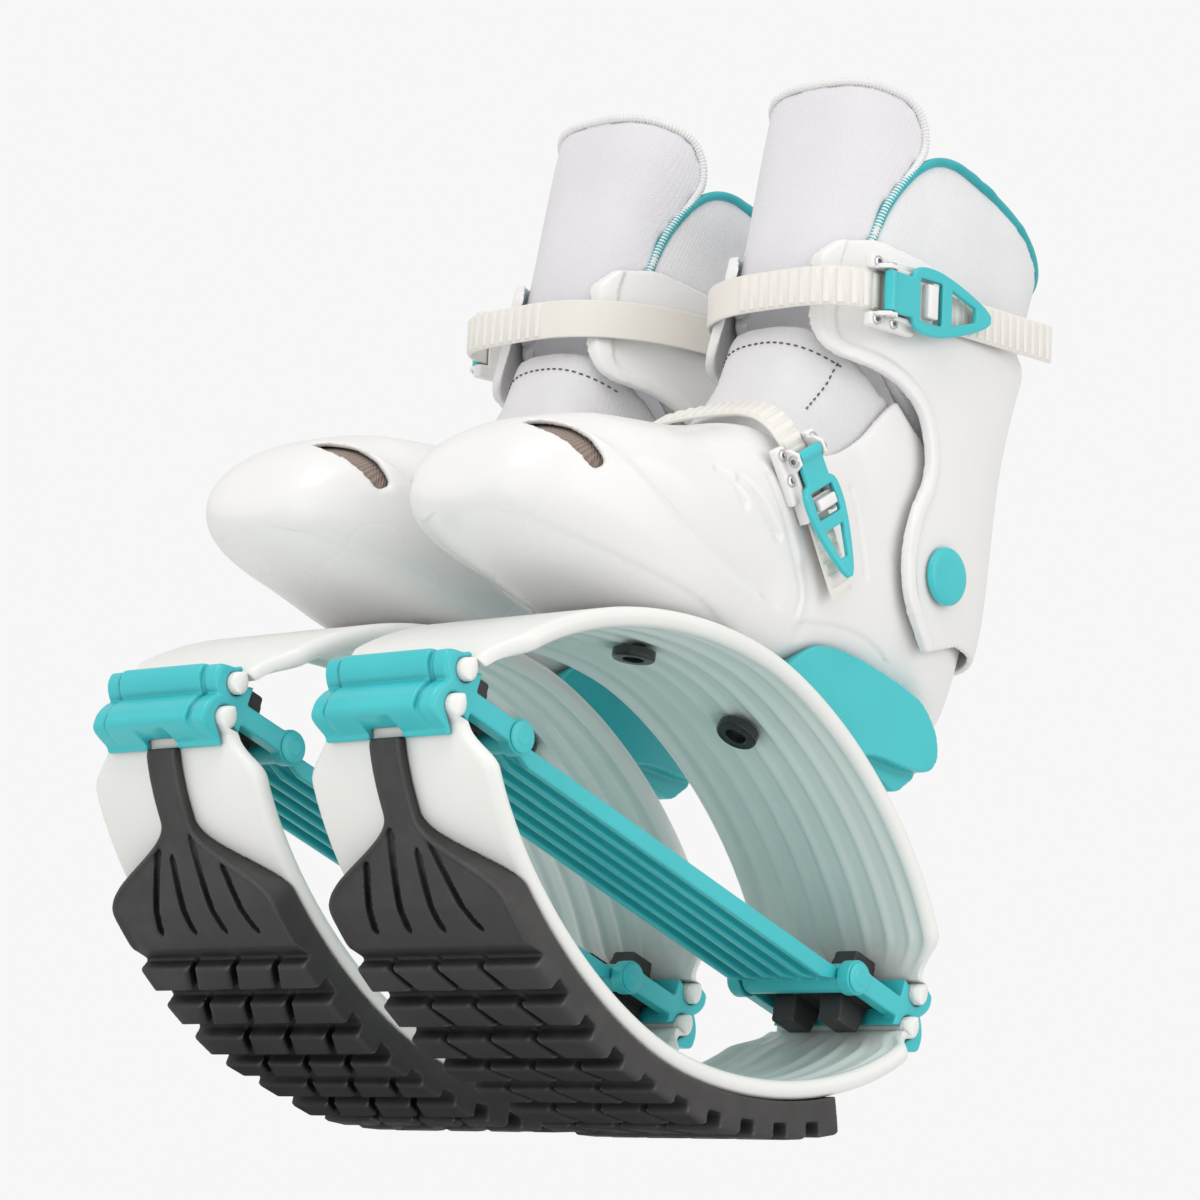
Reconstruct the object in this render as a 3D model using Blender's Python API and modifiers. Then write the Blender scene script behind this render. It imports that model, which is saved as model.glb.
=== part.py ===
"""A pair of jumping shoes: two hard boots with soft liners, each on an oval of two bowed springs.

Frame: +Z up from the ground, toes towards -Y, X across. The left shoe stands at +X with its buckles
on its outer side, and the right shoe is its mirror image. The origin is the middle of the footprint.
Inside the functions of one shoe, X runs from the shoe's middle to its outer side, Y = 0 is the
middle of the springs, and heights are from the ground. All lengths are in metres.
"""

import math

import bmesh
import bpy
from mathutils import Matrix, Vector

# The pair
PAIR_GAP = 0.0242
PAIR_STAGGER = 0.0045

# General
CLEARANCE = 0.0003
OVERRUN = 0.020
WELD = 0.000005

# The oval of springs: the curve of its outer face, mirrored about the middle height
MIDDLE_HEIGHT = 0.105
SPRING_REACH = 0.153
SPRING_END_HEIGHT = 0.003
SPRING_CURVE_START = 0.006
SPRING_RISE = 0.0855
SPRING_LENGTH_POWER = 1.81
SPRING_RISE_POWER = 1.48
SPRING_WIDTH = 0.101
SPRING_NECK_WIDTH = 0.076
SPRING_NECK_LENGTH = 0.012
SPRING_SHOULDER_LENGTH = 0.020
SPRING_THICKNESS = 0.0052
SPRING_RIM_DEPTH = 0.0082
SPRING_RIB_HEIGHT = 0.0016
SPRING_BEAD_RADIUS = 0.0048
SPRING_BEAD_SETBACK = 0.0008

# Mounting bolts through the upper spring
BOLT_SPREAD = 0.076
BOLT_HEAD_RADIUS = 0.0092
BOLT_HEAD_HEIGHT = 0.0042
BOLT_SEAT_GAP = 0.0008
BOLT_SHANK_RADIUS = 0.004
FRONT_BOLT_RISE = 0.0016
REAR_BOLT_RISE = 0.0138
BOLT_SOCKET_RADIUS = 0.0046
BOLT_SOCKET_DEPTH = 0.0026

# Outsole tread
TREAD_WIDTH = 0.100
TREAD_BASE = 0.009
TREAD_LUG_HEIGHT = 0.007
TREAD_STRAP_WIDTH = 0.0172
TREAD_STRAP_THICKNESS = 0.0035
TREAD_STRAP_DROP = 0.0185
TREAD_STRAP_LENGTH = 0.028
TREAD_SHOULDER_LENGTH = 0.034
TREAD_PAD_LENGTH = 0.018
TREAD_REAR_SETBACK = 0.052
TREAD_LUG_ROWS = 10
TREAD_LUGS = 4
TREAD_SLOTS = 4
TREAD_GROOVE = 0.0045
TREAD_LUG_SKEW = 0.0035
TREAD_SLOT_WIDTH = 0.003
TREAD_SLOT_LENGTH = 0.032

# End clips, band, pins and bump stops
CLIP_WIDTH = 0.068
CLIP_WALL = 0.0058
CLIP_BACK_WALL = 0.0042
CLIP_SIDE_BAND = 0.0105
CLIP_STEP = 0.0014
CLIP_LIP_RISE = 0.0155
CLIP_LIP_DROP = 0.0195
CLIP_LIP_THICKNESS = 0.003
CLIP_LIP_GAP = 0.0009
CLIP_BACK_RISE = 0.0028
ARM_DROP = 0.002
ARM_HEIGHT = 0.009
ARM_THICKNESS = 0.0065
BOSS_SETBACK = 0.0395
BOSS_RADIUS = 0.0075
PIN_RADIUS = 0.0028
BAND_EYE_RADIUS = 0.0062
BAND_THICKNESS = 0.0032
BAND_RIB_HEIGHT = 0.0034
BAND_RIB_WIDTH = 0.0034
BAND_RIB_TAPER = 0.012
BAND_RIBS = 6
STOP_RISE = 0.0165
STOP_FIN_WIDTH = 0.012
STOP_FIN_SPREAD = 0.026
STOP_BASE_HEIGHT = 0.007

# Boot
BOOT_LENGTH = 0.320
SHAFT_HEIGHT = 0.200
SHAFT_FOOT_RISE = 0.093
BOOT_WIDTH = 0.100
BOOT_WALL = 0.003
TOE_SHIFT = 0.004
TOE_SHIFT_START = 0.020
TOE_SHIFT_LENGTH = 0.120
VENT_LENGTH = 0.041
VENT_WIDTH = 0.012
VENT_DEPTH = 0.020
VENT_SPREAD = 0.068
PAD_WIDTH = 0.084
PAD_LOBE_WIDTH = 0.070
PAD_GAP = 0.0007

# Liner, collar and tongue
LINER_GAP = 0.0012
LINER_PADDING = 0.007

# Cuff and its pivots
CUFF_WALL = 0.003
CUFF_RIM_WIDTH = 0.0065
CUFF_RIM_STEP = 0.0016
ANKLE_REACH = 0.082
ANKLE_RISE = 0.174
ANKLE_DISC_RADIUS = 0.0128
ANKLE_DISC_THICKNESS = 0.0028
ANKLE_PIN_RADIUS = 0.005
ANKLE_PIN_LENGTH = 0.0075
ANKLE_SEAT_GAP = 0.0006

# Straps: where each one's plane crosses the shoe's side view, and its curve in that plane
STRAP_THICKNESS = 0.0016
STRAP_TOOTH_HEIGHT = 0.0008
STRAP_TOOTH_PITCH = 0.0075
STRAP_TOOTH_DROP = 0.0006
STRAP_GAP = 0.0006
TOP_STRAP_WIDTH = 0.017
TOP_STRAP_SLOPE_DEGREES = 20.0
TOP_STRAP_CROWN = 0.001
TOP_STRAP_FRONT = -0.0325
TOP_STRAP_BEND = 0.045
TOP_STRAP_HALF_WIDTH = 0.0510
TOP_STRAP_POWER = 5.0
TOP_STRAP_INNER_BEND = 0.060
TOP_STRAP_INNER_POWER = 2.25
TOP_STRAP_TAIL = 0.113
TOP_STRAP_ANCHOR = 0.066
INSTEP_STRAP_WIDTH = 0.014
INSTEP_STRAP_SLOPE_DEGREES = -40.2
INSTEP_STRAP_CROWN = 0.013
INSTEP_STRAP_FRONT = -0.0545
INSTEP_STRAP_BEND = 0.060
INSTEP_STRAP_HALF_WIDTH = 0.0500
INSTEP_STRAP_POWER = 4.5
INSTEP_STRAP_TAIL = 0.028
INSTEP_STRAP_ANCHOR = 0.028

# Buckles
TOP_BUCKLE_REACH = -0.0089
TOP_LEVER_LENGTH = 0.070
TOP_LEVER_WIDTH = 0.030
INSTEP_BUCKLE_REACH = -0.0345
INSTEP_LEVER_LENGTH = 0.056
INSTEP_LEVER_WIDTH = 0.024
BUCKLE_FLOOR = 0.0012
BUCKLE_CHEEK = 0.002
BUCKLE_SIDE_GAP = 0.0009
LEVER_THICKNESS = 0.0026
LEVER_PIN_RADIUS = 0.0014
LEVER_BARREL_RADIUS = 0.0026
TAB_THICKNESS = 0.0015
TAB_TRAVEL = 0.0008
TAB_RISE = 0.0012

# Sections of the boot. Each row runs from its front or top point to its back or bottom point:
# Y as a share of the boot's length and height over the shaft's foot as a share of the shaft's
# height, twice, then the half width as a share of the boot's, and the section's two powers,
# which say how square it is towards each point.
BOOT_SECTION_shares = (
    (-0.486, 0.050, -0.486, -0.002, 0.32, 2.0, 2.0),
    (-0.478, 0.110, -0.478, -0.032, 0.55, 2.1, 2.2),
    (-0.453, 0.170, -0.453, -0.052, 0.73, 2.2, 2.5),
    (-0.410, 0.226, -0.410, -0.060, 0.87, 2.3, 2.9),
    (-0.350, 0.286, -0.350, -0.060, 0.965, 2.3, 3.2),
    (-0.281, 0.335, -0.275, -0.055, 1.00, 2.3, 3.4),
    (-0.209, 0.385, -0.175, -0.053, 0.99, 2.4, 3.4),
    (-0.144, 0.445, -0.075, -0.018, 0.96, 2.8, 3.2),
    (-0.100, 0.510, 0.044, -0.014, 0.94, 3.0, 3.0),
    (-0.080, 0.575, 0.175, 0.065, 0.91, 3.0, 2.8),
    (-0.072, 0.630, 0.306, 0.120, 0.88, 3.0, 2.6),
    (-0.069, 0.675, 0.402, 0.098, 0.86, 3.0, 2.4),
    (-0.069, 0.710, 0.440, 0.155, 0.86, 3.0, 2.2),
    (-0.069, 0.740, 0.453, 0.245, 0.86, 3.0, 2.1),
    (-0.069, 0.770, 0.457, 0.350, 0.86, 3.0, 2.0),
    (-0.069, 0.805, 0.455, 0.485, 0.86, 3.0, 2.0),
)
# The cuff's sections in the same form; its open front lies well behind their front points
CUFF_SECTION_shares = (
    (-0.100, 0.160, 0.457, 0.160, 0.93, 3.0, 2.3),
    (-0.105, 0.260, 0.466, 0.260, 0.96, 2.8, 2.2),
    (-0.105, 0.380, 0.474, 0.380, 0.98, 2.6, 2.2),
    (-0.105, 0.500, 0.468, 0.500, 0.98, 2.5, 2.1),
    (-0.103, 0.620, 0.449, 0.620, 0.98, 2.4, 2.1),
    (-0.098, 0.760, 0.428, 0.760, 0.98, 2.2, 2.1),
    (-0.101, 0.900, 0.414, 0.900, 0.98, 2.2, 2.2),
    (-0.108, 1.060, 0.406, 1.060, 0.98, 2.4, 2.4),
)
# The padded leg of the liner, which the collar and the tongue share
LEG_SECTION_shares = (
    (-0.048, 0.480, 0.443, 0.480, 0.74, 2.6, 2.1),
    (-0.058, 0.620, 0.4285, 0.620, 0.76, 2.6, 2.1),
    (-0.066, 0.740, 0.4125, 0.740, 0.78, 2.6, 2.1),
    (-0.072, 0.860, 0.4005, 0.860, 0.857, 2.6, 2.2),
    (-0.077, 0.980, 0.3945, 0.980, 0.896, 2.6, 2.3),
    (-0.084, 1.120, 0.390, 1.120, 0.908, 2.8, 2.3),
    (-0.094, 1.300, 0.386, 1.300, 0.92, 3.0, 2.3),
    (-0.104, 1.500, 0.380, 1.500, 0.92, 3.0, 2.3),
)
# Side outlines, as shares of the boot's length and of the shaft's height over its foot
CUFF_RIM_shares = (
    (-0.075, 0.925), (-0.066, 0.845), (-0.053, 0.755), (-0.025, 0.715), (0.044, 0.725), (0.097, 0.715),
    (0.134, 0.685), (0.163, 0.620), (0.169, 0.560), (0.163, 0.485), (0.169, 0.390), (0.195, 0.310),
    (0.231, 0.265), (0.269, 0.230),
)
CUFF_BACK_shares = (
    (0.300, 0.262), (0.345, 0.310), (0.420, 0.345), (0.531, 0.360), (0.531, 1.015), (0.344, 1.020),
    (0.188, 1.015), (0.062, 1.020), (-0.019, 1.005), (-0.062, 0.970),
)
THROAT_shares = (
    (-0.194, 0.410), (-0.144, 0.455), (-0.062, 0.440), (0.003, 0.485), (0.053, 0.570), (0.097, 0.705),
    (0.188, 0.845),
)
LINER_TOP_shares = ((-0.140, 0.775), (-0.040, 0.775), (0.097, 0.700), (0.256, 0.590), (0.500, 0.440))
COLLAR_shares = (
    (-0.016, 0.835), (-0.016, 1.010), (-0.012, 1.110), (0.010, 1.210), (0.045, 1.265), (0.100, 1.285),
    (0.220, 1.285), (0.320, 1.265), (0.440, 1.225), (0.500, 1.150), (0.500, 0.465), (0.256, 0.615),
    (0.097, 0.745),
)
TONGUE_shares = (
    (-0.160, 0.855), (-0.0172, 0.845), (-0.0172, 1.010), (-0.0133, 1.111), (0.006, 1.217), (0.010, 1.270),
    (-0.004, 1.320), (-0.030, 1.352), (-0.160, 1.362),
)
PAD_shares = (
    (0.020, -0.080), (0.034, 0.000), (0.070, 0.080), (0.120, 0.115), (0.188, 0.134), (0.267, 0.142),
    (0.307, 0.138), (0.344, 0.105), (0.363, 0.060), (0.356, 0.015), (0.320, -0.010), (0.240, -0.040),
    (0.160, -0.100),
)
LOBE_shares = (
    (0.230, 0.000), (0.345, 0.010), (0.338, -0.035), (0.320, -0.060), (0.285, -0.055), (0.250, -0.045),
)
# A lever's neck, one side of its outline past the neck, and its two windows: length from its pin
# and half width, as shares of its own length and half width
LEVER_NECK_share = 0.207
LEVER_SIDE_shares = (
    (0.225, 0.80), (0.270, 0.94), (0.370, 1.00), (0.500, 0.95), (0.660, 0.77), (0.820, 0.52), (0.930, 0.30),
    (0.985, 0.12),
)
LEVER_WINDOW_shares = ((0.280, 0.62), (0.490, 0.62))
LEVER_TIP_WINDOW_shares = ((0.590, 0.52), (0.830, 0.20))
TOP_STRAP_HEIGHT_share = 0.87
INSTEP_STRAP_HEIGHT_share = 0.2875
STRAP_TOOTHED_share = 0.62
SPRING_CROWDING_share = 0.06
DOME_REACH_share = 0.6
DOME_RISE_share = 0.9
SHORT_SLOT_share = 0.35
SLOT_SPREAD_share = 0.34
TAB_BLOCK_shares = ((0.320, 0.50), (0.450, 0.50))
VENT_PLACE_shares = (-0.425, 0.157)
VENT_ALONG_shares = (0.87, 0.41, -0.27)
VENT_OUT_shares = (0.45, -0.63, 0.62)

# Places that follow from the values above
SHAFT_FOOT_HEIGHT = MIDDLE_HEIGHT + SHAFT_FOOT_RISE
ANKLE_HEIGHT = MIDDLE_HEIGHT + ANKLE_RISE
BOSS_REACH = SPRING_REACH - BOSS_SETBACK
PAIR_SPACING = 2 * TOP_STRAP_HALF_WIDTH + PAIR_GAP
SPRING_RIB_DEPTH = SPRING_THICKNESS + SPRING_RIB_HEIGHT
TAB_FLOOR = STRAP_THICKNESS + STRAP_TOOTH_HEIGHT + STRAP_GAP + TAB_TRAVEL
LEVER_FLOOR = TAB_FLOOR + TAB_THICKNESS + CLEARANCE
LEVER_PIN_HEIGHT = LEVER_FLOOR + LEVER_THICKNESS / 2

# Facets
SPRING_STEPS = 12
SECTION_FACETS = 16
ROUND_FACETS = 14
SMALL_FACETS = 12
CURVE_SAMPLES = 600

COLOURS = {
    "white_gloss": ((0.86, 0.86, 0.87), 0.22, 0.0),
    "milky": ((0.80, 0.82, 0.79), 0.30, 0.0),
    "sea_green": ((0.05, 0.52, 0.55), 0.38, 0.0),
    "black_rubber": ((0.035, 0.034, 0.034), 0.65, 0.0),
    "cream": ((0.79, 0.76, 0.69), 0.40, 0.0),
    "fabric": ((0.82, 0.81, 0.84), 0.75, 0.0),
    "steel": ((0.55, 0.55, 0.56), 0.28, 1.0),
}

# A side outline is drawn with Y along the curve's X and Z along its Y, and a buckle's own side
# outline with X along the curve's X
SIDE_PLANE = Matrix(((0, 0, 1, 0), (1, 0, 0, 0), (0, 1, 0, 0), (0, 0, 0, 1)))
BUCKLE_SIDE_PLANE = Matrix(((1, 0, 0, 0), (0, 0, -1, 0), (0, 1, 0, 0), (0, 0, 0, 1)))


def clear_scene():
    """Empty the scene of its objects and its collections."""
    for item in list(bpy.data.objects):
        bpy.data.objects.remove(item, do_unlink=True)
    for group in list(bpy.data.collections):
        bpy.data.collections.remove(group)


def new_collection(name):
    """Add a collection to the scene."""
    group = bpy.data.collections.new(name)
    bpy.context.scene.collection.children.link(group)
    return group


clear_scene()
SHOES = new_collection("jumping_shoes")
CUTTERS = new_collection("cutters")


def principled(name):
    """Make or reuse one of the plain materials."""
    material = bpy.data.materials.get(name)
    if material:
        return material
    colour, roughness, metallic = COLOURS[name]
    material = bpy.data.materials.new(name)
    material.use_nodes = True
    shader = material.node_tree.nodes["Principled BSDF"]
    shader.inputs["Base Color"].default_value = (*colour, 1)
    shader.inputs["Roughness"].default_value = roughness
    shader.inputs["Metallic"].default_value = metallic
    return material


def evaluated_mesh(item):
    """Read an object's mesh with its modifiers."""
    bpy.context.view_layer.update()
    graph = bpy.context.evaluated_depsgraph_get()
    return bpy.data.meshes.new_from_object(item.evaluated_get(graph))


def linked(name, data, group):
    """Make an object and put it in a collection."""
    item = bpy.data.objects.new(name, data)
    group.objects.link(item)
    return item


def side_point(share):
    """Turn a share of the boot's length and of the shaft's height into Y and Z."""
    return (share[0] * BOOT_LENGTH, SHAFT_FOOT_HEIGHT + share[1] * SHAFT_HEIGHT)


def side_outline(shares):
    """Turn a table of shares into a side outline."""
    return [side_point(share) for share in shares]


def outline_mesh(outlines, thickness):
    """Fill flat outlines and thicken them; an outline inside another is a hole."""
    curve = bpy.data.curves.new("outline", "CURVE")
    curve.dimensions = "2D"
    curve.fill_mode = "BOTH"
    curve.extrude = thickness / 2
    for outline in outlines:
        spline = curve.splines.new("POLY")
        spline.points.add(len(outline) - 1)
        for point, place in zip(spline.points, outline):
            point.co = (place[0], place[1], 0, 1)
        spline.use_cyclic_u = True
    holder = linked("outline", curve, CUTTERS)
    mesh = evaluated_mesh(holder)
    bpy.data.objects.remove(holder, do_unlink=True)
    bpy.data.curves.remove(curve)
    shape = bmesh.new()
    shape.from_mesh(mesh)
    bmesh.ops.remove_doubles(shape, verts=shape.verts, dist=WELD)
    bpy.data.meshes.remove(mesh)
    return finished(shape)


def side_prism(outline, from_x, to_x):
    """Extrude a side outline across the shoe, between two places on X."""
    mesh = outline_mesh([outline], to_x - from_x)
    middle = (from_x + to_x) / 2
    mesh.transform(Matrix.Translation((middle, 0, 0)) @ SIDE_PLANE)
    return mesh


def block(low, high):
    """Make a box between two corners."""
    shape = bmesh.new()
    bmesh.ops.create_cube(shape, size=1)
    size = Vector(high) - Vector(low)
    middle = (Vector(high) + Vector(low)) / 2
    bmesh.ops.scale(shape, vec=size, verts=shape.verts)
    bmesh.ops.translate(shape, vec=middle, verts=shape.verts)
    return finished(shape)


def finished(shape):
    """Turn a bmesh into a mesh, with its faces pointing out."""
    bmesh.ops.recalc_face_normals(shape, faces=shape.faces)
    if shape.calc_volume(signed=True) < 0:
        bmesh.ops.reverse_faces(shape, faces=shape.faces)
    mesh = bpy.data.meshes.new("shape")
    shape.to_mesh(mesh)
    shape.free()
    return mesh


def rod(start, end, radius, facets=ROUND_FACETS):
    """Make a cylinder between two points."""
    start = Vector(start)
    run = Vector(end) - start
    shape = bmesh.new()
    bmesh.ops.create_cone(
        shape, cap_ends=True, segments=facets, radius1=radius, radius2=radius, depth=run.length
    )
    turn = run.to_track_quat("Z", "Y").to_matrix().to_4x4()
    shape.transform(Matrix.Translation(start + run / 2) @ turn)
    return finished(shape)


def turned(profile, facets=ROUND_FACETS):
    """Turn a profile of radius and height about the Z axis with a Screw modifier."""
    mesh = bpy.data.meshes.new("profile")
    edges = [(index, index + 1) for index in range(len(profile) - 1)]
    mesh.from_pydata([(radius, 0, height) for radius, height in profile], edges, [])
    holder = linked("profile", mesh, CUTTERS)
    screw = holder.modifiers.new("turn", "SCREW")
    screw.steps = facets
    screw.render_steps = facets
    screw.use_merge_vertices = True
    screw.merge_threshold = WELD
    solid = evaluated_mesh(holder)
    bpy.data.objects.remove(holder, do_unlink=True)
    shape = bmesh.new()
    shape.from_mesh(solid)
    bmesh.ops.remove_doubles(shape, verts=shape.verts, dist=WELD)
    return finished(shape)


def loft(rings):
    """Join closed rings of as many points each, and close both ends."""
    shape = bmesh.new()
    loops = [[shape.verts.new(place) for place in ring] for ring in rings]
    for near, far in zip(loops, loops[1:]):
        for index in range(len(near)):
            after = (index + 1) % len(near)
            shape.faces.new((near[index], near[after], far[after], far[index]))
    shape.faces.new(loops[0])
    shape.faces.new(loops[-1])
    return finished(shape)


def merged(meshes):
    """Put several meshes that don't touch in one, for a cutter."""
    shape = bmesh.new()
    for mesh in meshes:
        shape.from_mesh(mesh)
    return finished(shape)


def piece(name, mesh, material, pivot=(0, 0, 0)):
    """Make one sub-part of the left shoe, with its origin on the axis that it moves about."""
    pivot = Vector(pivot)
    mesh.transform(Matrix.Translation(-pivot))
    mesh.materials.clear()
    mesh.materials.append(principled(material))
    item = linked(name + "_left", mesh, SHOES)
    item.location = pivot
    item.parent = LEFT_SHOE
    return item


def combine(item, mesh, operation="DIFFERENCE"):
    """Cut, join or trim a piece with a mesh, by a Boolean whose cutter is kept as a guide."""
    cutter = linked(item.name + "_cutter", mesh, CUTTERS)
    cutter.parent = LEFT_SHOE
    cutter.hide_render = True
    cutter.display_type = "WIRE"
    boolean = item.modifiers.new(operation.lower(), "BOOLEAN")
    boolean.operation = operation
    boolean.solver = "EXACT"
    boolean.object = cutter


def smoothstep(value):
    """Ease from 0 to 1."""
    value = min(max(value, 0), 1)
    return value * value * (3 - 2 * value)


def add_shoe_empty(side, name):
    """Add the empty that a shoe's pieces hang on."""
    empty = linked(name, None, SHOES)
    empty.location = (side * PAIR_SPACING / 2, side * PAIR_STAGGER / 2, 0)
    return empty


LEFT_SHOE = add_shoe_empty(1, "left_shoe")
RIGHT_SHOE = add_shoe_empty(-1, "right_shoe")


class Track:
    """A flat curve that is measured along its length; out is to its left."""

    def __init__(self, places):
        self.places = places
        self.distances = [0.0]
        for near, far in zip(places, places[1:]):
            self.distances.append(self.distances[-1] + math.dist(near, far))
        self.length = self.distances[-1]

    def at(self, distance, out=0.0):
        """The point at a distance along the curve, moved outwards along the curve's normal."""
        index = 1
        while index < len(self.distances) - 1 and self.distances[index] < distance:
            index += 1
        low = self.distances[index - 1]
        span = self.distances[index] - low
        part = (distance - low) / span
        near = Vector(self.places[index - 1])
        far = Vector(self.places[index])
        along = (far - near).normalized()
        place = near.lerp(far, part)
        return place + Vector((-along.y, along.x)) * out

    def normal(self, distance):
        """The outward direction at a distance along the curve."""
        return self.at(distance, 1) - self.at(distance)

    def distance_at(self, reach):
        """The distance along the curve at a place on Y."""
        for near, far, start in zip(self.places, self.places[1:], self.distances):
            if near[0] <= reach < far[0]:
                return start + math.dist(near, far) * (reach - near[0]) / (far[0] - near[0])
        return self.length if reach > 0 else 0.0


def oval_places():
    """The outer face of the upper spring in side view, from its front end to its rear end."""
    places = [(-SPRING_REACH, MIDDLE_HEIGHT + SPRING_END_HEIGHT)]
    for index in range(CURVE_SAMPLES + 1):
        angle = math.pi * (1 - index / CURVE_SAMPLES)
        across = math.cos(angle)
        up = abs(math.sin(angle))
        reach = math.copysign(abs(across) ** (2 / SPRING_LENGTH_POWER), across)
        height = SPRING_CURVE_START + SPRING_RISE * up ** (2 / SPRING_RISE_POWER)
        places.append((SPRING_REACH * reach, MIDDLE_HEIGHT + height))
    places.append((SPRING_REACH, MIDDLE_HEIGHT + SPRING_END_HEIGHT))
    return places


OVAL = Track(oval_places())
MIRROR_HEIGHT = Matrix.Translation((0, 0, 2 * MIDDLE_HEIGHT)) @ Matrix.Scale(-1, 4, (0, 0, 1))

# One spring's section from its outer face round its rims: share of the half width, depth, and
# which side of the bead the point goes to
SPRING_SECTION = (
    (0.96, 0.0, 1.0), (1.0, SPRING_RIM_DEPTH / 2, 0.0), (0.96, SPRING_RIM_DEPTH, -1.0),
    (0.87, SPRING_RIM_DEPTH, -1.0), (0.79, SPRING_THICKNESS, -1.0),
    (0.53, SPRING_RIB_DEPTH, -1.0), (0.27, SPRING_THICKNESS, -1.0), (0.0, SPRING_RIB_DEPTH, -1.0),
)


def spring_stations():
    """Distances along a spring where its section is set, close together at the beads."""
    radius = SPRING_BEAD_RADIUS
    shoulder = SPRING_NECK_LENGTH + SPRING_SHOULDER_LENGTH
    near = [radius * part for part in (0.06, 0.5, 1.0, 1.5, 1.94)]
    near += [SPRING_NECK_LENGTH, SPRING_NECK_LENGTH + SPRING_SHOULDER_LENGTH / 2, shoulder]
    run = OVAL.length - 2 * shoulder
    middle = []
    for step in range(1, SPRING_STEPS):
        share = step / SPRING_STEPS
        moved = share - SPRING_CROWDING_share * math.sin(2 * math.pi * share)
        middle.append(shoulder + run * moved)
    return near + middle + [OVAL.length - distance for distance in reversed(near)]


def spring_ring(distance):
    """One ring of a spring: a round bead at its ends, then a rimmed and ribbed strip."""
    radius = SPRING_BEAD_RADIUS
    from_end = min(distance, OVAL.length - distance)
    widening = smoothstep((from_end - SPRING_NECK_LENGTH) / SPRING_SHOULDER_LENGTH)
    half_width = (SPRING_NECK_WIDTH + (SPRING_WIDTH - SPRING_NECK_WIDTH) * widening) / 2
    strip = smoothstep((from_end - 2 * radius) / (SPRING_NECK_LENGTH - 2 * radius))
    rise = radius * radius - (from_end - radius) ** 2
    bead = max(math.sqrt(max(rise, 0)), SPRING_THICKNESS / 4)
    right = []
    for width_share, depth, bead_side in SPRING_SECTION:
        flat = min(depth, SPRING_THICKNESS)
        ribbed = flat + (depth - flat) * widening
        out = -ribbed * strip + (bead * bead_side - SPRING_BEAD_SETBACK) * (1 - strip)
        place = OVAL.at(distance, out)
        if from_end < 2 * radius:
            end = 1 if distance > OVAL.length / 2 else -1
            place = Vector((end * (SPRING_REACH + out), MIDDLE_HEIGHT + SPRING_END_HEIGHT + from_end))
        right.append((half_width * width_share, place.x, place.y))
    left = [(-x, y, z) for x, y, z in reversed(right[:-1])]
    return right + left


def spring_mesh():
    """The upper spring of an oval, lofted along its curve."""
    return loft([spring_ring(distance) for distance in spring_stations()])


def bolt_frame(side):
    """Where a mounting bolt's axis meets the spring's outer face, and the way it points."""
    distance = OVAL.distance_at(side * BOLT_SPREAD / 2)
    foot = OVAL.at(distance)
    normal = OVAL.normal(distance)
    return Vector((0, foot.x, foot.y)), Vector((0, normal.x, normal.y))


def bolt_hole(side):
    """The hole of a mounting bolt, through the spring and the boot's sole."""
    foot, normal = bolt_frame(side)
    reach = normal * OVERRUN
    return rod(foot - reach, foot + reach, BOLT_SHANK_RADIUS + CLEARANCE)


def add_springs():
    """The two bowed springs of an oval; the upper one has the holes of its bolts."""
    upper = piece("upper_spring_shell", spring_mesh(), "milky")
    for side in (-1, 1):
        combine(upper, bolt_hole(side))
    lower = spring_mesh()
    lower.transform(MIRROR_HEIGHT)
    lower.flip_normals()
    piece("lower_spring_shell", lower, "milky")


def add_mount_bolts():
    """Capped bolts whose heads show inside the oval."""
    seat = -(SPRING_RIB_DEPTH + BOLT_SEAT_GAP)
    bottom = seat - BOLT_HEAD_HEIGHT
    bevel = BOLT_HEAD_HEIGHT / 4
    bolts = ((-1, "front_mount_bolt", FRONT_BOLT_RISE), (1, "rear_mount_bolt", REAR_BOLT_RISE))
    for side, name, top in bolts:
        mesh = turned((
            (0, top), (BOLT_SHANK_RADIUS, top), (BOLT_SHANK_RADIUS, seat), (BOLT_HEAD_RADIUS, seat),
            (BOLT_HEAD_RADIUS, bottom + bevel), (BOLT_HEAD_RADIUS - bevel, bottom),
            (BOLT_SOCKET_RADIUS, bottom), (BOLT_SOCKET_RADIUS, bottom + BOLT_SOCKET_DEPTH),
            (0, bottom + BOLT_SOCKET_DEPTH),
        ))
        foot, normal = bolt_frame(side)
        turn = normal.to_track_quat("Z", "X").to_matrix().to_4x4()
        mesh.transform(Matrix.Translation(foot) @ turn)
        piece(name, mesh, "black_rubber")


def spring_envelope():
    """The space of the spring's outer face and all below it, which what rests on it is cut by."""
    steps = 40
    reach = OVAL.length / steps
    outline = [tuple(OVAL.at(reach * step, CLEARANCE)) for step in range(steps + 1)]
    return side_prism(outline, -SPRING_WIDTH, SPRING_WIDTH)


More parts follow.
